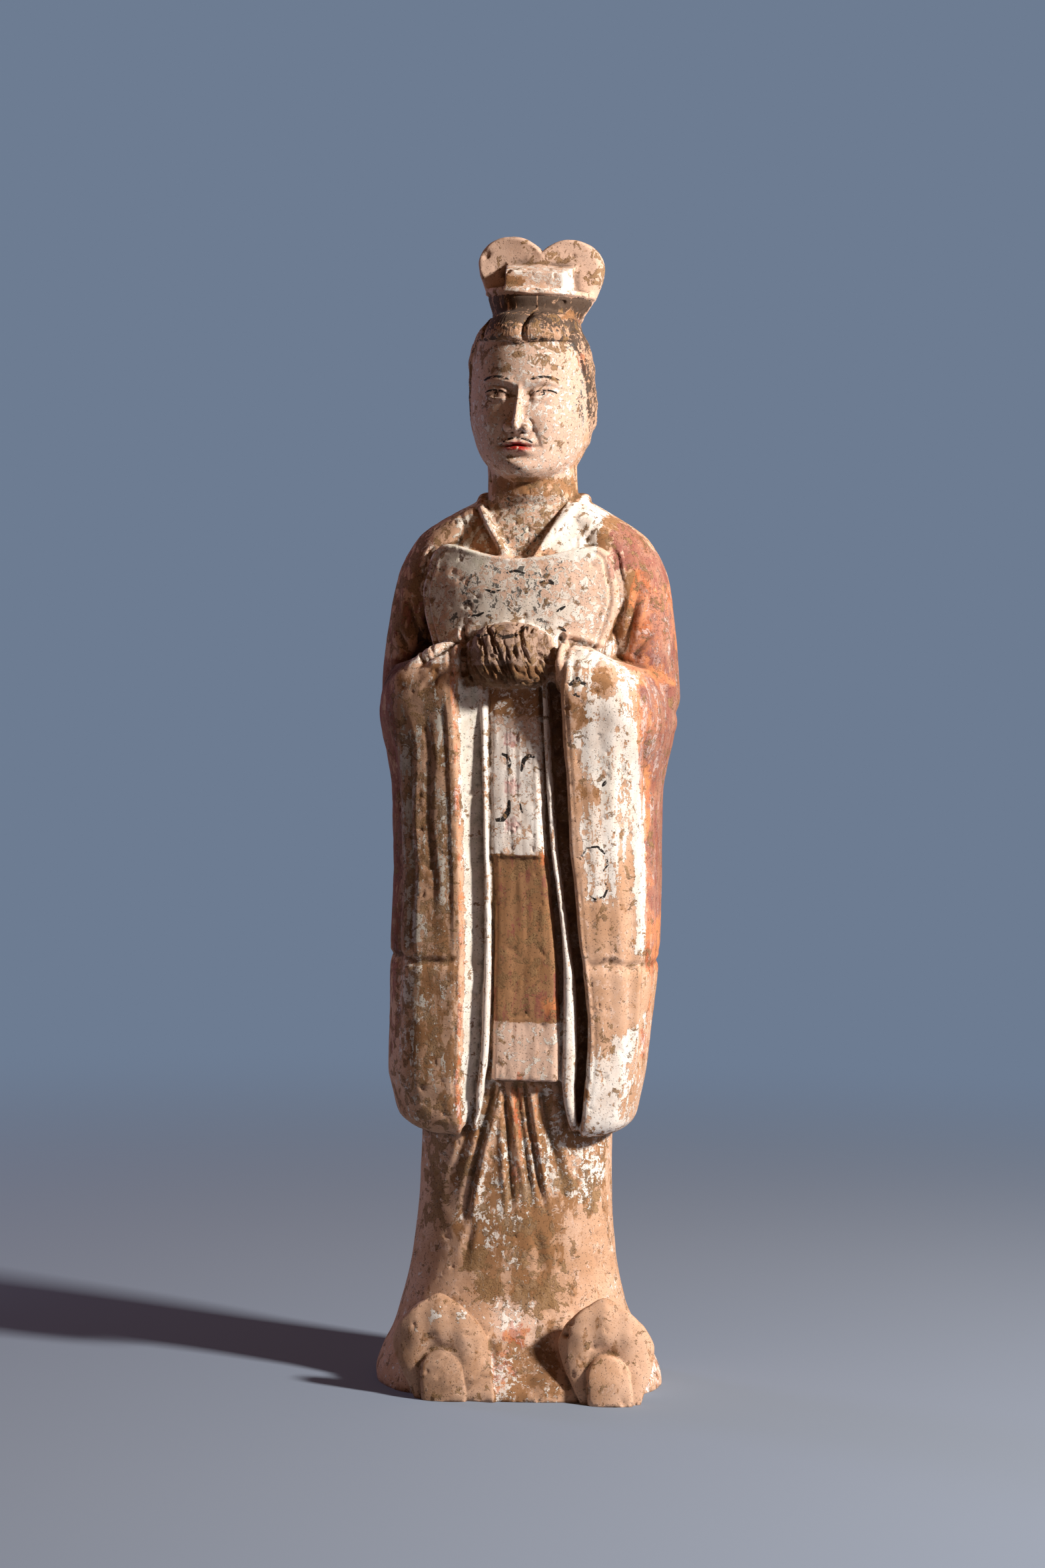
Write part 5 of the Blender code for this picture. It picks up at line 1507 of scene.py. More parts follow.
def garments(points, normals):
    """Where each part of the figure is, from 0 to 1, by name."""
    x, y, z = points.T
    side = np.abs(x)
    front = fade(-normals[:, 1], -0.25, 0.2)
    forward = fade(-y, 0, 12)
    edge = hair_edge(points)
    on_plate, _ = on_chest_plate(points)
    hair = fade(edge, -0.8, 0.8) * fade(z, HAIR_FOOT - 8, HAIR_FOOT + 2)
    hair = hair * (1 - fade(z, CAP_FOOT + 2, CAP_FOOT + 5))
    cap = fade(z, CAP_FOOT + 1, CAP_FOOT + 4)
    band = cap * (1 - fade(z, CAP_FOOT + 18, CAP_FOOT + 20)) * (1 - fade(y, 8, 14))
    box = fade(-y, 6, 9) * fade(z, CAP_FOOT + 20, CAP_FOOT + 22) * (1 - fade(side, 31, 34))
    face_area = fade(z, CHIN_LEVEL - 2, CHIN_LEVEL + 3) * (1 - hair) * (1 - cap) * fade(-y, 14, 24)
    neck = fade(z, NECKLINE_TOP - 8, NECKLINE_TOP) * (1 - fade(z, CHIN_LEVEL - 2, CHIN_LEVEL + 6))
    neck = neck * (1 - fade(side, 38, 42)) * (1 - face_area)
    hollow = fade(neckline_edge(points), -1, 1) * fade(z, NECKLINE_FOOT, NECKLINE_FOOT + 4)
    hollow = hollow * (1 - fade(z, NECKLINE_TOP - 3, NECKLINE_TOP + 4)) * forward
    off_edge = from_mouth(points)
    sleeves = fade(off_edge, -1.5, 0) * fade(z, SLEEVE_FOOT - 1, SLEEVE_FOOT + 2)
    sleeves = sleeves * (1 - fade(z, SLEEVE_TOP - 6, SLEEVE_TOP + 2)) * (1 - fade(y, 36, 42))
    off_lip = from_lip(points)
    mouth_level = fade(z, SLEEVE_FOOT + 5, SLEEVE_FOOT + 13) * (1 - fade(z, MOUTH_TOP - 10, MOUTH_TOP))
    mouth_level = mouth_level * (1 - fade(off_edge, -1.5, 0))
    lips = (1 - fade(np.abs(off_lip), 1.1, 1.4)) * mouth_level * fade(-y, 60, 64)
    mouth_inside = fade(off_lip, 0.9, 1.3) * mouth_level * fade(-y, 40, 46)
    apron_area = on_apron(points) * (1 - lips)
    fists = fade(z, HAND_LEVEL - 28, HAND_LEVEL - 20) * (1 - fade(z, HAND_LEVEL + 24, HAND_LEVEL + 30))
    fists = fists * (1 - fade(side, 34, 38)) * fade(-y, 66, 74)
    shoes = 1 - fade(np.abs(np.abs(x - SHOE_SHIFT) - SHOE_X), SHOE_HALF_WIDTH, SHOE_HALF_WIDTH + 2)
    shoes = shoes * fade(-y, 73, 80) * (1 - fade(z, SHOE_TOP, SHOE_TOP + 4))
    arms = fade(z, HAND_LEVEL - 4, HAND_LEVEL + 14) * (1 - fade(z, NECKLINE_TOP - 6, NECKLINE_TOP + 2))
    arms = arms * fade(side, 62, 70) * (1 - on_plate)
    return {
        "front": front * forward,
        "hair": hair,
        "cap": cap,
        "band": band,
        "box": box,
        "face": face_area,
        "neck": neck,
        "hollow": hollow,
        "plate": on_plate * forward,
        "sleeves": sleeves,
        "lips": lips,
        "lining": mouth_inside * (1 - lips) * (x < 0),
        "gap": mouth_inside * (1 - lips) * (x > 0),
        "apron": apron_area,
        "hands": fists,
        "shoes": shoes,
        "arms": arms,
        "skirt": 1 - fade(z, SLEEVE_FOOT - 5, SLEEVE_FOOT + 5),
    }


def face_paint(points, coats, here):
    """Brows, lash lines, pupils, moustache and a tuft on the chin in ink, and red lips, all worn."""
    x, _, z = points.T
    side = np.abs(x)
    arch = BROW_LEVEL + 1.2 - 0.02 * (side - 19) ** 2
    brows = 1.3 * (1 - fade(np.abs(side - 19.5), 8, 13)) - np.abs(z - arch)
    across = (side - EYE_X) / EYE_HALF_WIDTH
    upper = 3.0 * np.clip(1 - across**2, 0, 1) ** 0.75
    lashes = np.where(np.abs(across) < 1.05, 0.7 - np.abs(z - EYE_LEVEL - 0.9 * across - upper), -5)
    pupils = 1.9 - np.hypot(side - EYE_X, z - EYE_LEVEL - 0.6)
    line = MOUTH_LEVEL + 6.0 - 0.04 * (side - 3) ** 2
    whisker = 1.0 * (1 - fade(side, 10, 17)) * fade(side, 2, 4) - np.abs(z - line)
    tuft = np.where(side < 4.5, 0.5 - np.abs(np.mod(x + 0.12 * (z - CHIN_LEVEL), 2.4) - 1.2), -5)
    tuft = np.minimum(tuft, 4 - np.abs(z - CHIN_LEVEL - 9))
    ink = np.maximum.reduce([brows, lashes, pupils, whisker, tuft])
    coats["ink"] = np.where(here > 0.5, ink, -5)
    lips = np.exp(-((x / 11.5) ** 4)) * np.exp(-(((z - MOUTH_LEVEL + 0.3) / (4.6 - 0.2 * side)) ** 4))
    coats["lips"] = lips * here


def rosettes(points, coats, apron_area):
    """Pale rosettes down the middle of the apron's upper length: a ring of petals round a spot."""
    x, _, z = points.T
    for level in ROSETTE_LEVELS:
        reach, turn = np.hypot(x - ROSETTE_X, z - level), np.arctan2(z - level, x - ROSETTE_X)
        edge = 6.0 + 1.0 * np.cos(5 * turn)
        petals = (1 - fade(reach, edge - 0.8, edge + 0.8)) * (0.45 + 0.55 * bump(reach, edge - 1.4, 1.2))
        coats["rose"] = np.maximum(coats["rose"], (petals + 0.8 * bump(reach, 0, 1.8)) * apron_area)
        coats["slip"] = coats["slip"] + 0.15 * (1 - fade(reach, 6, ROSETTE_REACH)) * apron_area


def brush_marks(points):
    """How far inside the nearest short stroke of ink each point lies: what is left of the patterns on the
    chest plate, the apron and the sleeve at +X."""
    marks = np.full(len(points), -5.0)
    for path, half_width in STROKES:
        distance, along = line_distance(points, path)
        width = half_width * (0.55 + 0.45 * np.sin(np.clip(along, 0, 1) * math.pi))
        marks = np.maximum(marks, width - np.abs(distance))
    return marks


def lay(coats, where, **covers):
    """The cover of each named coat moved toward a new one where a part is."""
    for name, cover in covers.items():
        coats[name] = coats[name] + (cover - coats[name]) * where


def garment_coats(points, places, coats):
    """The coats on the whole figure, then on the sleeves, the skirt, the chest plate and the arms."""
    x, front = points[:, 0], places["front"]
    clouds = cloudy(points, (30, 30, 40), 71, 2)
    red = 0.1 + 0.12 * cloudy(points, (40, 40, 60), 73, 2)
    earth = 0.16 + 0.12 * cloudy(points, (26, 26, 34), 79, 2)
    lay(coats, 1.0, slip=0.2 + 0.15 * clouds, red=red, earth=earth, ochre=0.25 + 0.2 * clouds)
    lay(coats, places["sleeves"] * front, slip=0.12 + 0.18 * fade(x, -30, 30), red=0.03, earth=0.08)
    lay(coats, places["sleeves"] * front * fade(x, 30, 40), ochre=0.12)
    lay(coats, places["skirt"] * front, slip=0.24, red=0.04, earth=0.1, ochre=0.18)
    lay(coats, places["plate"], slip=0.5, veil=0.85, red=0.0, earth=0.06, fleck=0.55)
    lay(coats, places["arms"], slip=0.16)


def front_patches(points, front, coats):
    """FRONT_PATCHES on all that is seen from in front and on the edges of the sides, with ragged outlines."""
    x, y, z = points.T
    ragged = cloudy(points, (12, 12, 15), 97, 3)
    round_side = fade(np.abs(x), 95, 100) * fade(12 * ragged - y, -34, -6)
    seen = np.maximum(front, round_side)
    for name, change, x_low, x_high, z_low, z_high, softness in FRONT_PATCHES:
        drift = (2.0 + 0.9 * softness) * ragged
        across = within(x + drift * (softness > 2), x_low, x_high, softness)
        coats[name] = coats[name] + change * across * within(z + 1.5 * drift, z_low, z_high, softness) * seen


def apron_coats(points, area, coats):
    """The apron's lengths: an ochre head, white below it, then brown with maroon and orange, a pale foot."""
    x, _, z = points.T
    above_foot = fade(z, APRON_BROWN_FOOT, APRON_BROWN_FOOT + 1)
    above_brown = fade(z, APRON_WHITE_FOOT, APRON_WHITE_FOOT + 1)
    head = area * fade(z, APRON_HEAD_FOOT, APRON_HEAD_FOOT + 5)
    white = area * above_brown
    brown = area * above_foot * (1 - above_brown)
    foot = area * (1 - above_foot)
    bare = bump(np.hypot(x - 12, z - 515), 0, 12)
    corner = bump(np.hypot(x - 27, z - 305), 0, 11) + bump(np.hypot(x - 21, z - 420), 0, 5)
    lay(coats, white, slip=0.72 - 0.35 * fade(z, 505, 540) - 0.25 * bare, fleck=0.6, red=0.0)
    lay(coats, head, slip=0.3, ochre=1.0)
    lay(coats, brown, slip=0.0, veil=0.0, ochre=1.0, grime=0.2)
    lay(coats, brown, red=0.34 + 0.6 * corner, maroon=0.95 - 0.95 * corner)
    lay(coats, foot, slip=0.32, veil=0.9, grime=0.12, cool=0.5)
    lay(coats, white * (1 - head), veil=0.7)
    lay(coats, area, earth=0.05, black=0.0)
    lay(coats, brown, earth=0.3)


def mouth_coats(points, places, coats):
    """The border, the pale lining, the lips, and the gap of the sleeves' mouths, darkened as painted shade."""
    x = points[:, 0]
    border = within(from_mouth(points), 0, 4.5, 1.0) * places["sleeves"] * places["front"] * (x < 0)
    lining_cool = 0.5 + 0.3 * (1 - fade(np.abs(x), 31.0, 33.0))
    lay(coats, border, slip=0.35, red=0.45, maroon=0.1, earth=0.05, grime=0.0)
    lay(coats, places["lining"], slip=0.9, red=0.0, earth=0.08, streaks=0.9, cool=lining_cool)
    lay(coats, places["lips"], slip=0.75, red=0.05, earth=0.08, streaks=0.9)
    # Painted shade: the gap in the mouth at +X, turned from the key lamp, laid nearly all dark brown.
    lay(coats, places["gap"], slip=0.0, red=0.02, earth=0.05, ochre=0.9, grime=0.95)


def head_coats(points, places, coats):
    """The face, the neck, the hollow of the collar, the hair and the cap, with HEAD_PATCHES on them."""
    x, y, z = points.T
    lay(coats, places["face"], slip=0.3, veil=0.95, red=0.0, earth=0.07, ochre=0.25, streaks=0.0)
    lay(coats, places["face"], grime=0.14, fleck=0.8)
    lay(coats, places["face"] * within(z, 800, 830, 6), earth=0.3)
    lay(coats, places["neck"], slip=0.1, veil=0.3, red=0.03, earth=0.3, ochre=0.7, streaks=0.0)
    lay(coats, places["hollow"], slip=0.46, veil=0.7, red=0.0, earth=0.3, cool=0.6, black=0.2, fleck=0.7)
    # Black hair paint, darker on top of the rolls as painted shade under the cap.
    black_and_cap_shade = 0.3 + 0.5 * fade(z, HAIRLINE_LEVEL + 5, HAIRLINE_LEVEL + 18) * fade(-y, 0, 20)
    lay(coats, places["hair"], slip=0.06, veil=0.45, red=0.02, earth=0.2, ochre=0.15)
    lay(coats, places["hair"], fleck=0.7, grime=0.34, black=black_and_cap_shade)
    lay(coats, bump(hair_edge(points), 0.4, 0.9) * within(z, 745, 828, 3) * fade(-y, 10, 20), black=0.62)
    lay(coats, places["cap"], slip=0.05, veil=0.85, red=0.0, earth=0.05, black=0.0, ochre=0.1)
    lay(coats, places["band"], black=0.82 - 0.16 * fade(-x, 24, 38), veil=0.3, streaks=0.9)
    lay(coats, places["box"], slip=0.42 + 0.2 * fade(x, 18, 25), veil=0.75, fleck=0.8)
    lobes = places["cap"] * (1 - places["box"]) * fade(z, LOBE_FOOT - 4, LOBE_FOOT + 2)
    earth = 0.06 + 0.3 * bump(x, 0, 14) + 0.28 * fade(x, 22, 40)
    lay(coats, lobes, cool=0.25, grime=0.14, earth=earth)
    for name, change, x_low, x_high, z_low, z_high, softness in HEAD_PATCHES:
        patch = within(x, x_low, x_high, softness) * within(z, z_low, z_high, softness)
        coats[name] = coats[name] + change * patch * fade(-y, -2, 6)


def edge_coats(points, places, coats):
    """Painted shadow in dark brown beside the chest plate and above the forearm at -X, and in dark brown and
    black behind the plate; red in the groove under the elbow at +X, and slip on the ridge of the lapel."""
    x, y, z = points.T
    front = places["front"]
    off_plate = front * (1 - places["plate"])
    beside_plate, _ = line_distance(points, [(-106, 556), (-88, 570), (-70, 588), (-71, 620), (-76, 650)])
    behind_plate = fade(y - plate_front(x, z), 6, 10) * within(x, -92, -60, 4) * within(z, 570, 652, 6)
    # Painted shadow of the chest plate and the forearm at -X, laid as grime and black.
    coats["grime"] += bump(beside_plate, 0, 6.0) * off_plate
    coats["grime"] += behind_plate * off_plate
    coats["black"] += 0.8 * behind_plate * off_plate
    groove, _ = line_distance(points, [(80, 577), (100, 568), (122, 556)])
    lay(coats, bump(groove, 0, 3.0) * off_plate, red=1.0, slip=0.0, maroon=0.0)
    ridge, _ = line_distance(points, [(-36, 694), (-25, 676), (-12, 657)])
    on_ridge = (1 - fade(np.abs(ridge), 2.4, 3.4)) * within(z, 654, 697, 2) * front
    lay(coats, on_ridge, slip=0.5, veil=0.95)


def wear_and_shade_coats(places, hollow, edge, coats):
    """Coats rubbed off the edges, dirt and earth caught in the hollows, and painted shade darkening the
    hollows.
    """
    wear = fade(edge, 0.3, 0.9)
    for name, share in (("slip", 0.35), ("red", 0.4), ("black", 0.35), ("earth", 0.5)):
        coats[name] = coats[name] - share * wear * coats[name] * (1 - 0.6 * places["lips"])
    deep = fade(hollow, 0.25, 1.6)
    # Grime and painted shade: the deeper the hollow, the darker brown.
    coats["grime"] = np.clip(coats["grime"] + 0.9 * deep, 0, 1)
    coats["earth"] = coats["earth"] + 0.3 * deep * (1 - places["lining"])


def coats_left(points, normals, hollow, edge):
    """How much of each coat is left at each point, 0 to 1, from what the parts were, how they wore and where
    shade is painted.
    """
    places = garments(points, normals)
    coats = {name: np.full(len(points), cover) for name, cover in FIRST_COVERS.items()}
    coats["streaks"] = 0.9 * places["sleeves"] + 0.5 * places["skirt"] * (1 - places["shoes"])
    garment_coats(points, places, coats)
    front_patches(points, places["front"], coats)
    apron_coats(points, places["apron"], coats)
    mouth_coats(points, places, coats)
    lay(coats, places["hands"], slip=0.03, red=0.02, earth=0.4, ochre=1.0, grime=0.72)
    lay(coats, places["shoes"], slip=0.03, veil=0.2, red=0.02, earth=0.06, ochre=0.2, streaks=0.0)
    # Painted shade on the shoe at -X, which is turned from the key lamp.
    lay(coats, places["shoes"] * (points[:, 0] < 0), grime=0.36)
    head_coats(points, places, coats)
    rosettes(points, coats, places["apron"])
    edge_coats(points, places, coats)
    wear_and_shade_coats(places, hollow, edge, coats)
    face_paint(points, coats, places["face"])
    marked = np.maximum.reduce([places["plate"], places["apron"], places["sleeves"]]) * places["front"]
    coats["ink"] = np.where(marked > 0.5, np.maximum(coats["ink"], brush_marks(points)), coats["ink"])
    for name in coats:
        if name not in ("ink", "lips"):
            coats[name] = np.clip(coats[name], 0, 1)
    return coats


def keep_on_skin(mesh, coats):
    """Each coat written on the skin's points, where the material reads it."""
    for name, values in coats.items():
        layer = mesh.attributes.new(name, "FLOAT", "POINT")
        layer.data.foreach_set("value", values.astype(np.float32))


def linear(hexadecimal):
    """An sRGB colour, such as C99B7A, as linear red, green, blue and alpha."""
    shares = [int(hexadecimal[i:i + 2], 16) / 255 for i in (0, 2, 4)]
    return tuple(s / 12.92 if s <= 0.04045 else ((s + 0.055) / 1.055) ** 2.4 for s in shares) + (1.0,)


# The colours of the clay and of what lies on it, as sRGB.
CLAY_PEACH = "D6B096"
CLAY_TAN = "BD9272"
CLAY_OCHRE = "946840"
SLIP_WHITE = "F3EDE6"
SLIP_SHADE = "DFCFC2"
SLIP_VEIL = "DDBDAA"
COOL_FILM = "C0BDA9"
ROSE_PINK = "BF8D88"
IRON_RED = "BE5330"
IRON_ORANGE = "D28A58"
IRON_MAROON = "8F5048"
LIP_RED = "B3261F"
# Black for ink, and for the painted shadow behind the chest plate.
INK_AND_SHADE = "2A2624"
EARTH = "7C5C3D"
EARTH_PALE = "A07E58"
# Dark brown for grime and pinholes, and for painted shade.
GRIME_AND_SHADE = "2E1D12"


def node(tree, kind, inputs=(), **settings):
    """One node: settings by name, and each input as a value or as another node's output."""
    made = tree.nodes.new(kind)
    for name, value in settings.items():
        setattr(made, name, value)
    for place, value in dict(inputs).items():
        if isinstance(value, bpy.types.NodeSocket):
            tree.links.new(value, made.inputs[place])
        else:
            made.inputs[place].default_value = value
    return made


def fired_clay_with_worn_paint():
    """Fired terracotta under kaolin slip, iron red, ink and burial earth, with dark brown grime that is partly
    painted shade. Each coat's cover comes from the skin, and noise breaks its edge into flakes. Matte all over,
    as unglazed clay is."""
    material = bpy.data.materials.new("painted fired terracotta")
    material.use_nodes = True
    tree = material.node_tree
    shader = tree.nodes["Principled BSDF"]
    place = node(tree, "ShaderNodeTexCoord").outputs["Object"]

    def mottling(millimetres, detail, stretch=1.0, seed=0.0, roughness=0.6, curl=0.0):
        """Noise spread evenly over 0 to 1, with features some millimetres across and longer upright."""
        scaled = node(
            tree,
            "ShaderNodeMapping",
            {"Vector": place, "Location": (seed, seed * 1.7, seed * 0.6), "Scale": (1, 1, 1 / stretch)},
        )
        noise = node(
            tree,
            "ShaderNodeTexNoise",
            {
                "Vector": scaled.outputs[0],
                "Scale": 1000 / millimetres,
                "Detail": detail,
                "Roughness": roughness,
                "Distortion": curl,
            },
        )
        evened = node(
            tree,
            "ShaderNodeMapRange",
            {"Value": noise.outputs["Fac"], "From Min": 0.34, "From Max": 0.66},
            interpolation_type="SMOOTHSTEP",
        )
        return evened.outputs["Result"]

    def left(cover, texture, edge, more=0.0):
        """1 where a coat is left: where its cover and a little more stand above the texture."""
        above = node(tree, "ShaderNodeMath", {0: cover, 1: texture}, operation="SUBTRACT")
        kept = node(
            tree,
            "ShaderNodeMapRange",
            {"Value": above.outputs[0], "From Min": -edge - more, "From Max": edge - more},
            interpolation_type="SMOOTHSTEP",
        )
        return kept.outputs["Result"]

    def over(below, colour, where, strength=1.0):
        """One colour laid over another where a coat is left, and how strongly it covers."""
        share = node(tree, "ShaderNodeMath", {0: where, 1: strength}, operation="MULTIPLY")
        below, colour = (linear(c) if isinstance(c, str) else c for c in (below, colour))
        laid = node(tree, "ShaderNodeMix", {0: share.outputs[0], 6: below, 7: colour}, data_type="RGBA")
        return laid.outputs[2]

    fields = {
        "broad": mottling(13.0, 8, seed=3.0, roughness=0.68, curl=1.1),
        "small": mottling(4.0, 6, seed=7.0, roughness=0.62, curl=0.8),
        "upright": mottling(5.0, 8, stretch=5.0, seed=9.0, roughness=0.7, curl=0.35),
        "crust": mottling(9.0, 8, seed=21.0, roughness=0.68, curl=0.5),
        "fine": mottling(1.3, 3, seed=5.0),
        "clouds": mottling(34.0, 5, seed=13.0),
        "smears": mottling(10.0, 6, stretch=2.5, seed=31.0, roughness=0.62),
    }
    for name in (*FIRST_COVERS, "streaks", "ink", "lips"):
        fields[name] = node(tree, "ShaderNodeAttribute", attribute_name=name).outputs["Fac"]

    # Fields blended from two others: the share of the second, the first, the second.
    blends = {
        "streaked": ("streaks", "broad", "upright"),
        "flakes": ("fleck", "streaked", "small"),
        "tan_clouds": (0.2, "clouds", "fine"),
        "ochre_smears": (0.3, "smears", "crust"),
        "veil_flakes": (0.5, "flakes", "crust"),
        "slip_shade": (0.25, "smears", "fine"),
        "rose_strength": ("small", 0.45, 1.0),
        "maroon_clouds": (0.4, "clouds", "crust"),
        "red_flakes": (0.6, "crust", "upright"),
        "red_strength": ("smears", 0.5, 0.88),
        "black_specks": (0.35, "small", "smears"),
        "black_flakes": ("streaks", "black_specks", "upright"),
        "soil_shade": (0.4, "smears", "fine"),
        "grime_strength": ("crust", 0.35, 0.8),
    }
    for name, parts in blends.items():
        share, first, second = (fields.get(part, part) for part in parts)
        blend = node(tree, "ShaderNodeMix", {0: share, 2: first, 3: second}, data_type="FLOAT")
        fields[name] = blend.outputs[0]

    clay = over(CLAY_PEACH, CLAY_TAN, fields["tan_clouds"])
    clay = over(clay, CLAY_OCHRE, left(fields["ochre"], fields["ochre_smears"], 0.12), 0.85)
    painted = over(clay, SLIP_VEIL, left(fields["veil"], fields["veil_flakes"], 0.09), 0.75)
    slip = over(SLIP_WHITE, SLIP_SHADE, fields["slip_shade"])
    slip = over(slip, COOL_FILM, fields["cool"], fields["crust"])
    # Painted shadow: a thin ochre line just outside each flake of slip, where the flake's ledge would cast
    # shade.
    flake_edge_shadow = left(fields["slip"], fields["flakes"], 0.03, more=0.02)
    painted = over(painted, CLAY_OCHRE, flake_edge_shadow, 0.35)
    painted = over(painted, slip, left(fields["slip"], fields["flakes"], 0.022, more=-0.015))
    painted = over(painted, ROSE_PINK, fields["rose"], fields["rose_strength"])
    red = over(IRON_RED, IRON_ORANGE, fields["smears"])
    red = over(red, IRON_MAROON, left(fields["maroon"], fields["maroon_clouds"], 0.25))
    red_left = left(fields["red"], fields["red_flakes"], 0.07)
    painted = over(painted, red, red_left, fields["red_strength"])
    painted = over(painted, LIP_RED, fields["lips"], left(0.8, fields["small"], 0.08))
    painted = over(painted, INK_AND_SHADE, left(fields["black"], fields["black_flakes"], 0.05), 0.85)
    painted = over(painted, INK_AND_SHADE, left(fields["ink"], 0.05, 0.25), left(0.78, fields["small"], 0.1))
    soil = over(EARTH, EARTH_PALE, fields["soil_shade"])
    earth_left = left(fields["earth"], fields["crust"], 0.04)
    painted = over(painted, soil, earth_left, 0.88)
    pinholes = left(0.02, fields["fine"], 0.03)
    painted = over(painted, GRIME_AND_SHADE, pinholes, 0.7)
    # Dark brown grime, together with painted shade in hollows, gaps and on parts turned from the key lamp.
    painted = over(painted, GRIME_AND_SHADE, fields["grime"], fields["grime_strength"])
    tree.links.new(painted, shader.inputs["Base Color"])

    # The soft ledge of the slip, the crusts of earth with their grain, and the pinholes.
    grain = node(tree, "ShaderNodeMix", {0: earth_left, 2: 0.12, 3: 0.55}, data_type="FLOAT").outputs[0]
    ledge = left(fields["slip"], fields["flakes"], 0.06, more=-0.015)
    relief = 0.0
    for part, height in ((ledge, 1.0), (earth_left, 1.2), (fields["fine"], grain), (pinholes, -1.0)):
        sum_so_far = node(tree, "ShaderNodeMath", {0: part, 1: height, 2: relief}, operation="MULTIPLY_ADD")
        relief = sum_so_far.outputs[0]
    raised = node(tree, "ShaderNodeBump", {"Height": relief, "Distance": 0.00028, "Strength": 0.8})
    tree.links.new(raised.outputs["Normal"], shader.inputs["Normal"])
    shader.inputs["Roughness"].default_value = 0.88
    shader.inputs["Specular IOR Level"].default_value = 0.25
    return material


# The camera: angles in degrees, distance in metres, target's level and shift in UNITs, lens in millimetres.
VIEW_AZIMUTH = 7.5
VIEW_ELEVATION = 2.6
VIEW_ROLL = 1.15
VIEW_DISTANCE = 2.9
VIEW_TARGET_LEVEL = 474.5
VIEW_SHIFT = -6.8
LENS = 83.7

# The plain studio: a soft key lamp at the viewer's right, a faint cool lamp behind at the left, weak fill.
# Lamps count in watts.
BACKDROP_COLOUR = "6D7C92"
FLOOR_COLOUR = "828D9E"
FILL_COLOUR = "E8AC80"
FILL_STRENGTH = 0.14
KEY_COLOUR = "FFF8F0"
KEY_POWER = 184
EDGE_COLOUR = "C9C4F0"
EDGE_POWER = 14
LAMP_TARGET_LEVEL = 500

# The floor's rings and the stretch over which it fades, as radii in metres.
FLOOR_RINGS = (0.45, 0.8, 1.2, 1.7, 2.4)
FLOOR_FADE_START = 0.45
FLOOR_FADE_END = 2.2


def toward(azimuth, elevation):
    """The way from the figure to a place round it: azimuth 0 is in front, 90 at the viewer's right."""
    a, e = math.radians(azimuth), math.radians(elevation)
    return Vector((math.sin(a) * math.cos(e), -math.cos(a) * math.cos(e), math.sin(e)))


def aimed(name, data, azimuth, elevation, distance, target, roll=0.0):
    """An object with this data, put round a target that it looks at."""
    holder = bpy.data.objects.new(name, data)
    bpy.context.scene.collection.objects.link(holder)
    back = toward(azimuth, elevation)
    turn = back.to_track_quat("Z", "Y").to_matrix().to_4x4()
    rolled = Matrix.Rotation(math.radians(roll), 4, "Z")
    holder.matrix_world = Matrix.Translation(target + back * distance) @ turn @ rolled
    return holder


def camera():
    """The camera, far off, a little above and to the right, looking at the figure's middle."""
    side = Vector((math.cos(math.radians(VIEW_AZIMUTH)), math.sin(math.radians(VIEW_AZIMUTH)), 0))
    target = Vector((0, 0, VIEW_TARGET_LEVEL * UNIT)) + side * VIEW_SHIFT * UNIT
    lens = bpy.data.cameras.new("camera")
    lens.lens = LENS
    eye_place = aimed("camera", lens, VIEW_AZIMUTH, VIEW_ELEVATION, VIEW_DISTANCE, target, VIEW_ROLL)
    bpy.context.scene.camera = eye_place


def lamp(name, azimuth, elevation, distance, size, power, colour):
    """A square soft light that looks at the figure's middle."""
    light = bpy.data.lights.new(name, "AREA")
    light.size = size
    light.energy = power
    light.color = linear(colour)[:3]
    aimed(name, light, azimuth, elevation, distance, Vector((0, 0, LAMP_TARGET_LEVEL * UNIT)))


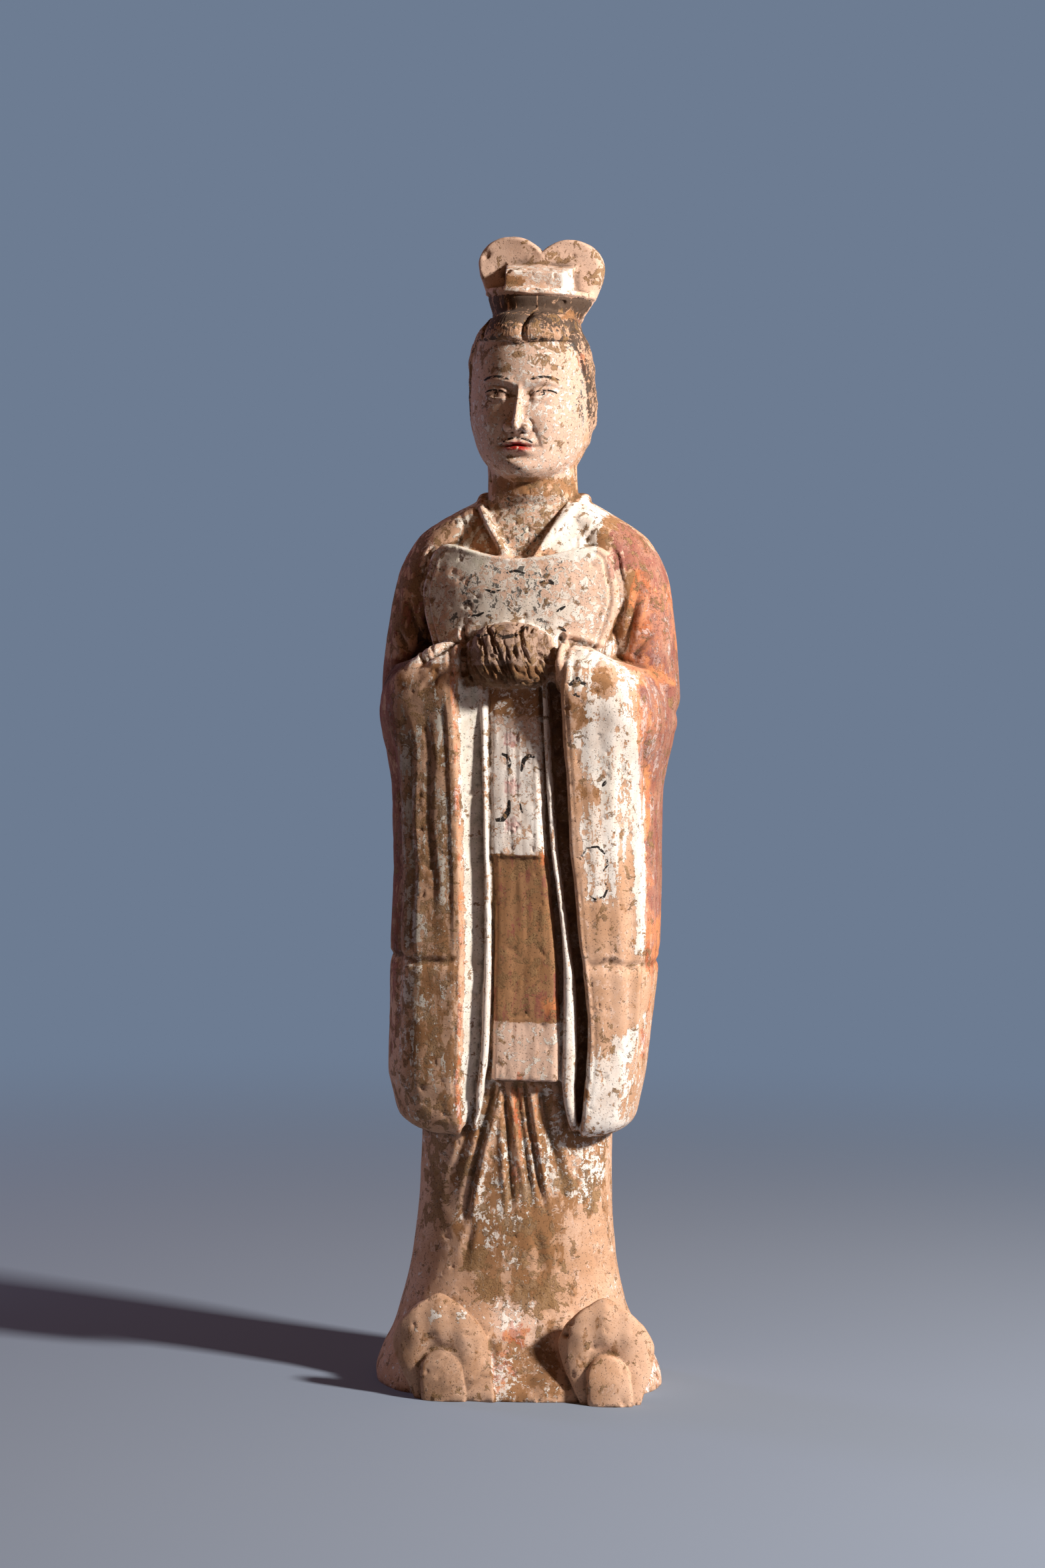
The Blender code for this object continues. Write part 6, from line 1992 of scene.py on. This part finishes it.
def floor():
    """A plain pale floor that fades into the backdrop's colour far from the figure."""
    around = 96
    points = [(0.0, 0.0, 0.0)]
    for radius in FLOOR_RINGS:
        for step in range(around):
            angle = 2 * math.pi * step / around
            points.append((radius * math.cos(angle), radius * math.sin(angle), 0.0))
    faces = [(0, 1 + step, 1 + (step + 1) % around) for step in range(around)]
    for band in range(len(FLOOR_RINGS) - 1):
        inner, outer = 1 + band * around, 1 + (band + 1) * around
        for step in range(around):
            after = (step + 1) % around
            faces.append((inner + step, outer + step, outer + after, inner + after))
    mesh = bpy.data.meshes.new("floor")
    mesh.from_pydata(points, [], faces)
    disc = bpy.data.objects.new("floor", mesh)
    bpy.context.scene.collection.objects.link(disc)
    # Rolled floor paint: almost wholly matte, so it takes the figure's shadow and shows no shine.
    material = bpy.data.materials.new("matte floor paint")
    material.use_nodes = True
    tree = material.node_tree
    shader = tree.nodes["Principled BSDF"]
    shader.inputs["Base Color"].default_value = linear(FLOOR_COLOUR)
    shader.inputs["Roughness"].default_value = 0.95
    shader.inputs["Specular IOR Level"].default_value = 0.1
    place = node(tree, "ShaderNodeTexCoord").outputs["Object"]
    distance = node(tree, "ShaderNodeVectorMath", {0: place}, operation="LENGTH").outputs["Value"]
    fade = {"From Min": FLOOR_FADE_START, "From Max": FLOOR_FADE_END, "To Min": 1.0, "To Max": 0.0}
    shown = node(
        tree,
        "ShaderNodeMapRange",
        {"Value": distance, **fade},
        interpolation_type="SMOOTHSTEP",
    )
    tree.links.new(shown.outputs["Result"], shader.inputs["Alpha"])
    mesh.materials.append(material)
    return disc


def world():
    """A plain backdrop colour for the camera, and a weak warm light from all round for the figure."""
    surroundings = bpy.data.worlds.new("surroundings")
    surroundings.use_nodes = True
    tree = surroundings.node_tree
    fill = tree.nodes["Background"]
    fill.inputs["Color"].default_value = linear(FILL_COLOUR)
    fill.inputs["Strength"].default_value = FILL_STRENGTH
    backdrop = node(tree, "ShaderNodeBackground", {"Color": linear(BACKDROP_COLOUR), "Strength": 1.0})
    seen = node(tree, "ShaderNodeLightPath").outputs["Is Camera Ray"]
    either = node(
        tree,
        "ShaderNodeMixShader",
        {0: seen, 1: fill.outputs["Background"], 2: backdrop.outputs["Background"]},
    )
    tree.links.new(either.outputs[0], tree.nodes["World Output"].inputs["Surface"])
    bpy.context.scene.world = surroundings


figure = fused("court_official", forms())
settle(figure)
finer(figure.data, in_fine_detail(read_skin(figure.data)[0]), 2)
press(figure.data)
note_edges_and_hollows(figure.data)
thin_out(figure)
settle(figure)
sharpen_marks(figure)
cut_foot(figure)
skin_points, skin_normals = read_skin(figure.data)
keep_on_skin(figure.data, coats_left(skin_points, skin_normals, *noted_edges_and_hollows(figure.data)))
stand(figure.data, skin_points)
figure.data.shade_smooth()
figure.data.materials.append(fired_clay_with_worn_paint())
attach(figure, "root")
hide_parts(NODE)
floor()
camera()
lamp("key", azimuth=66, elevation=27, distance=3.0, size=0.3, power=KEY_POWER, colour=KEY_COLOUR)
lamp("edge", azimuth=-115, elevation=15, distance=2.6, size=0.6, power=EDGE_POWER, colour=EDGE_COLOUR)
world()
bpy.context.scene.view_settings.view_transform = "Standard"
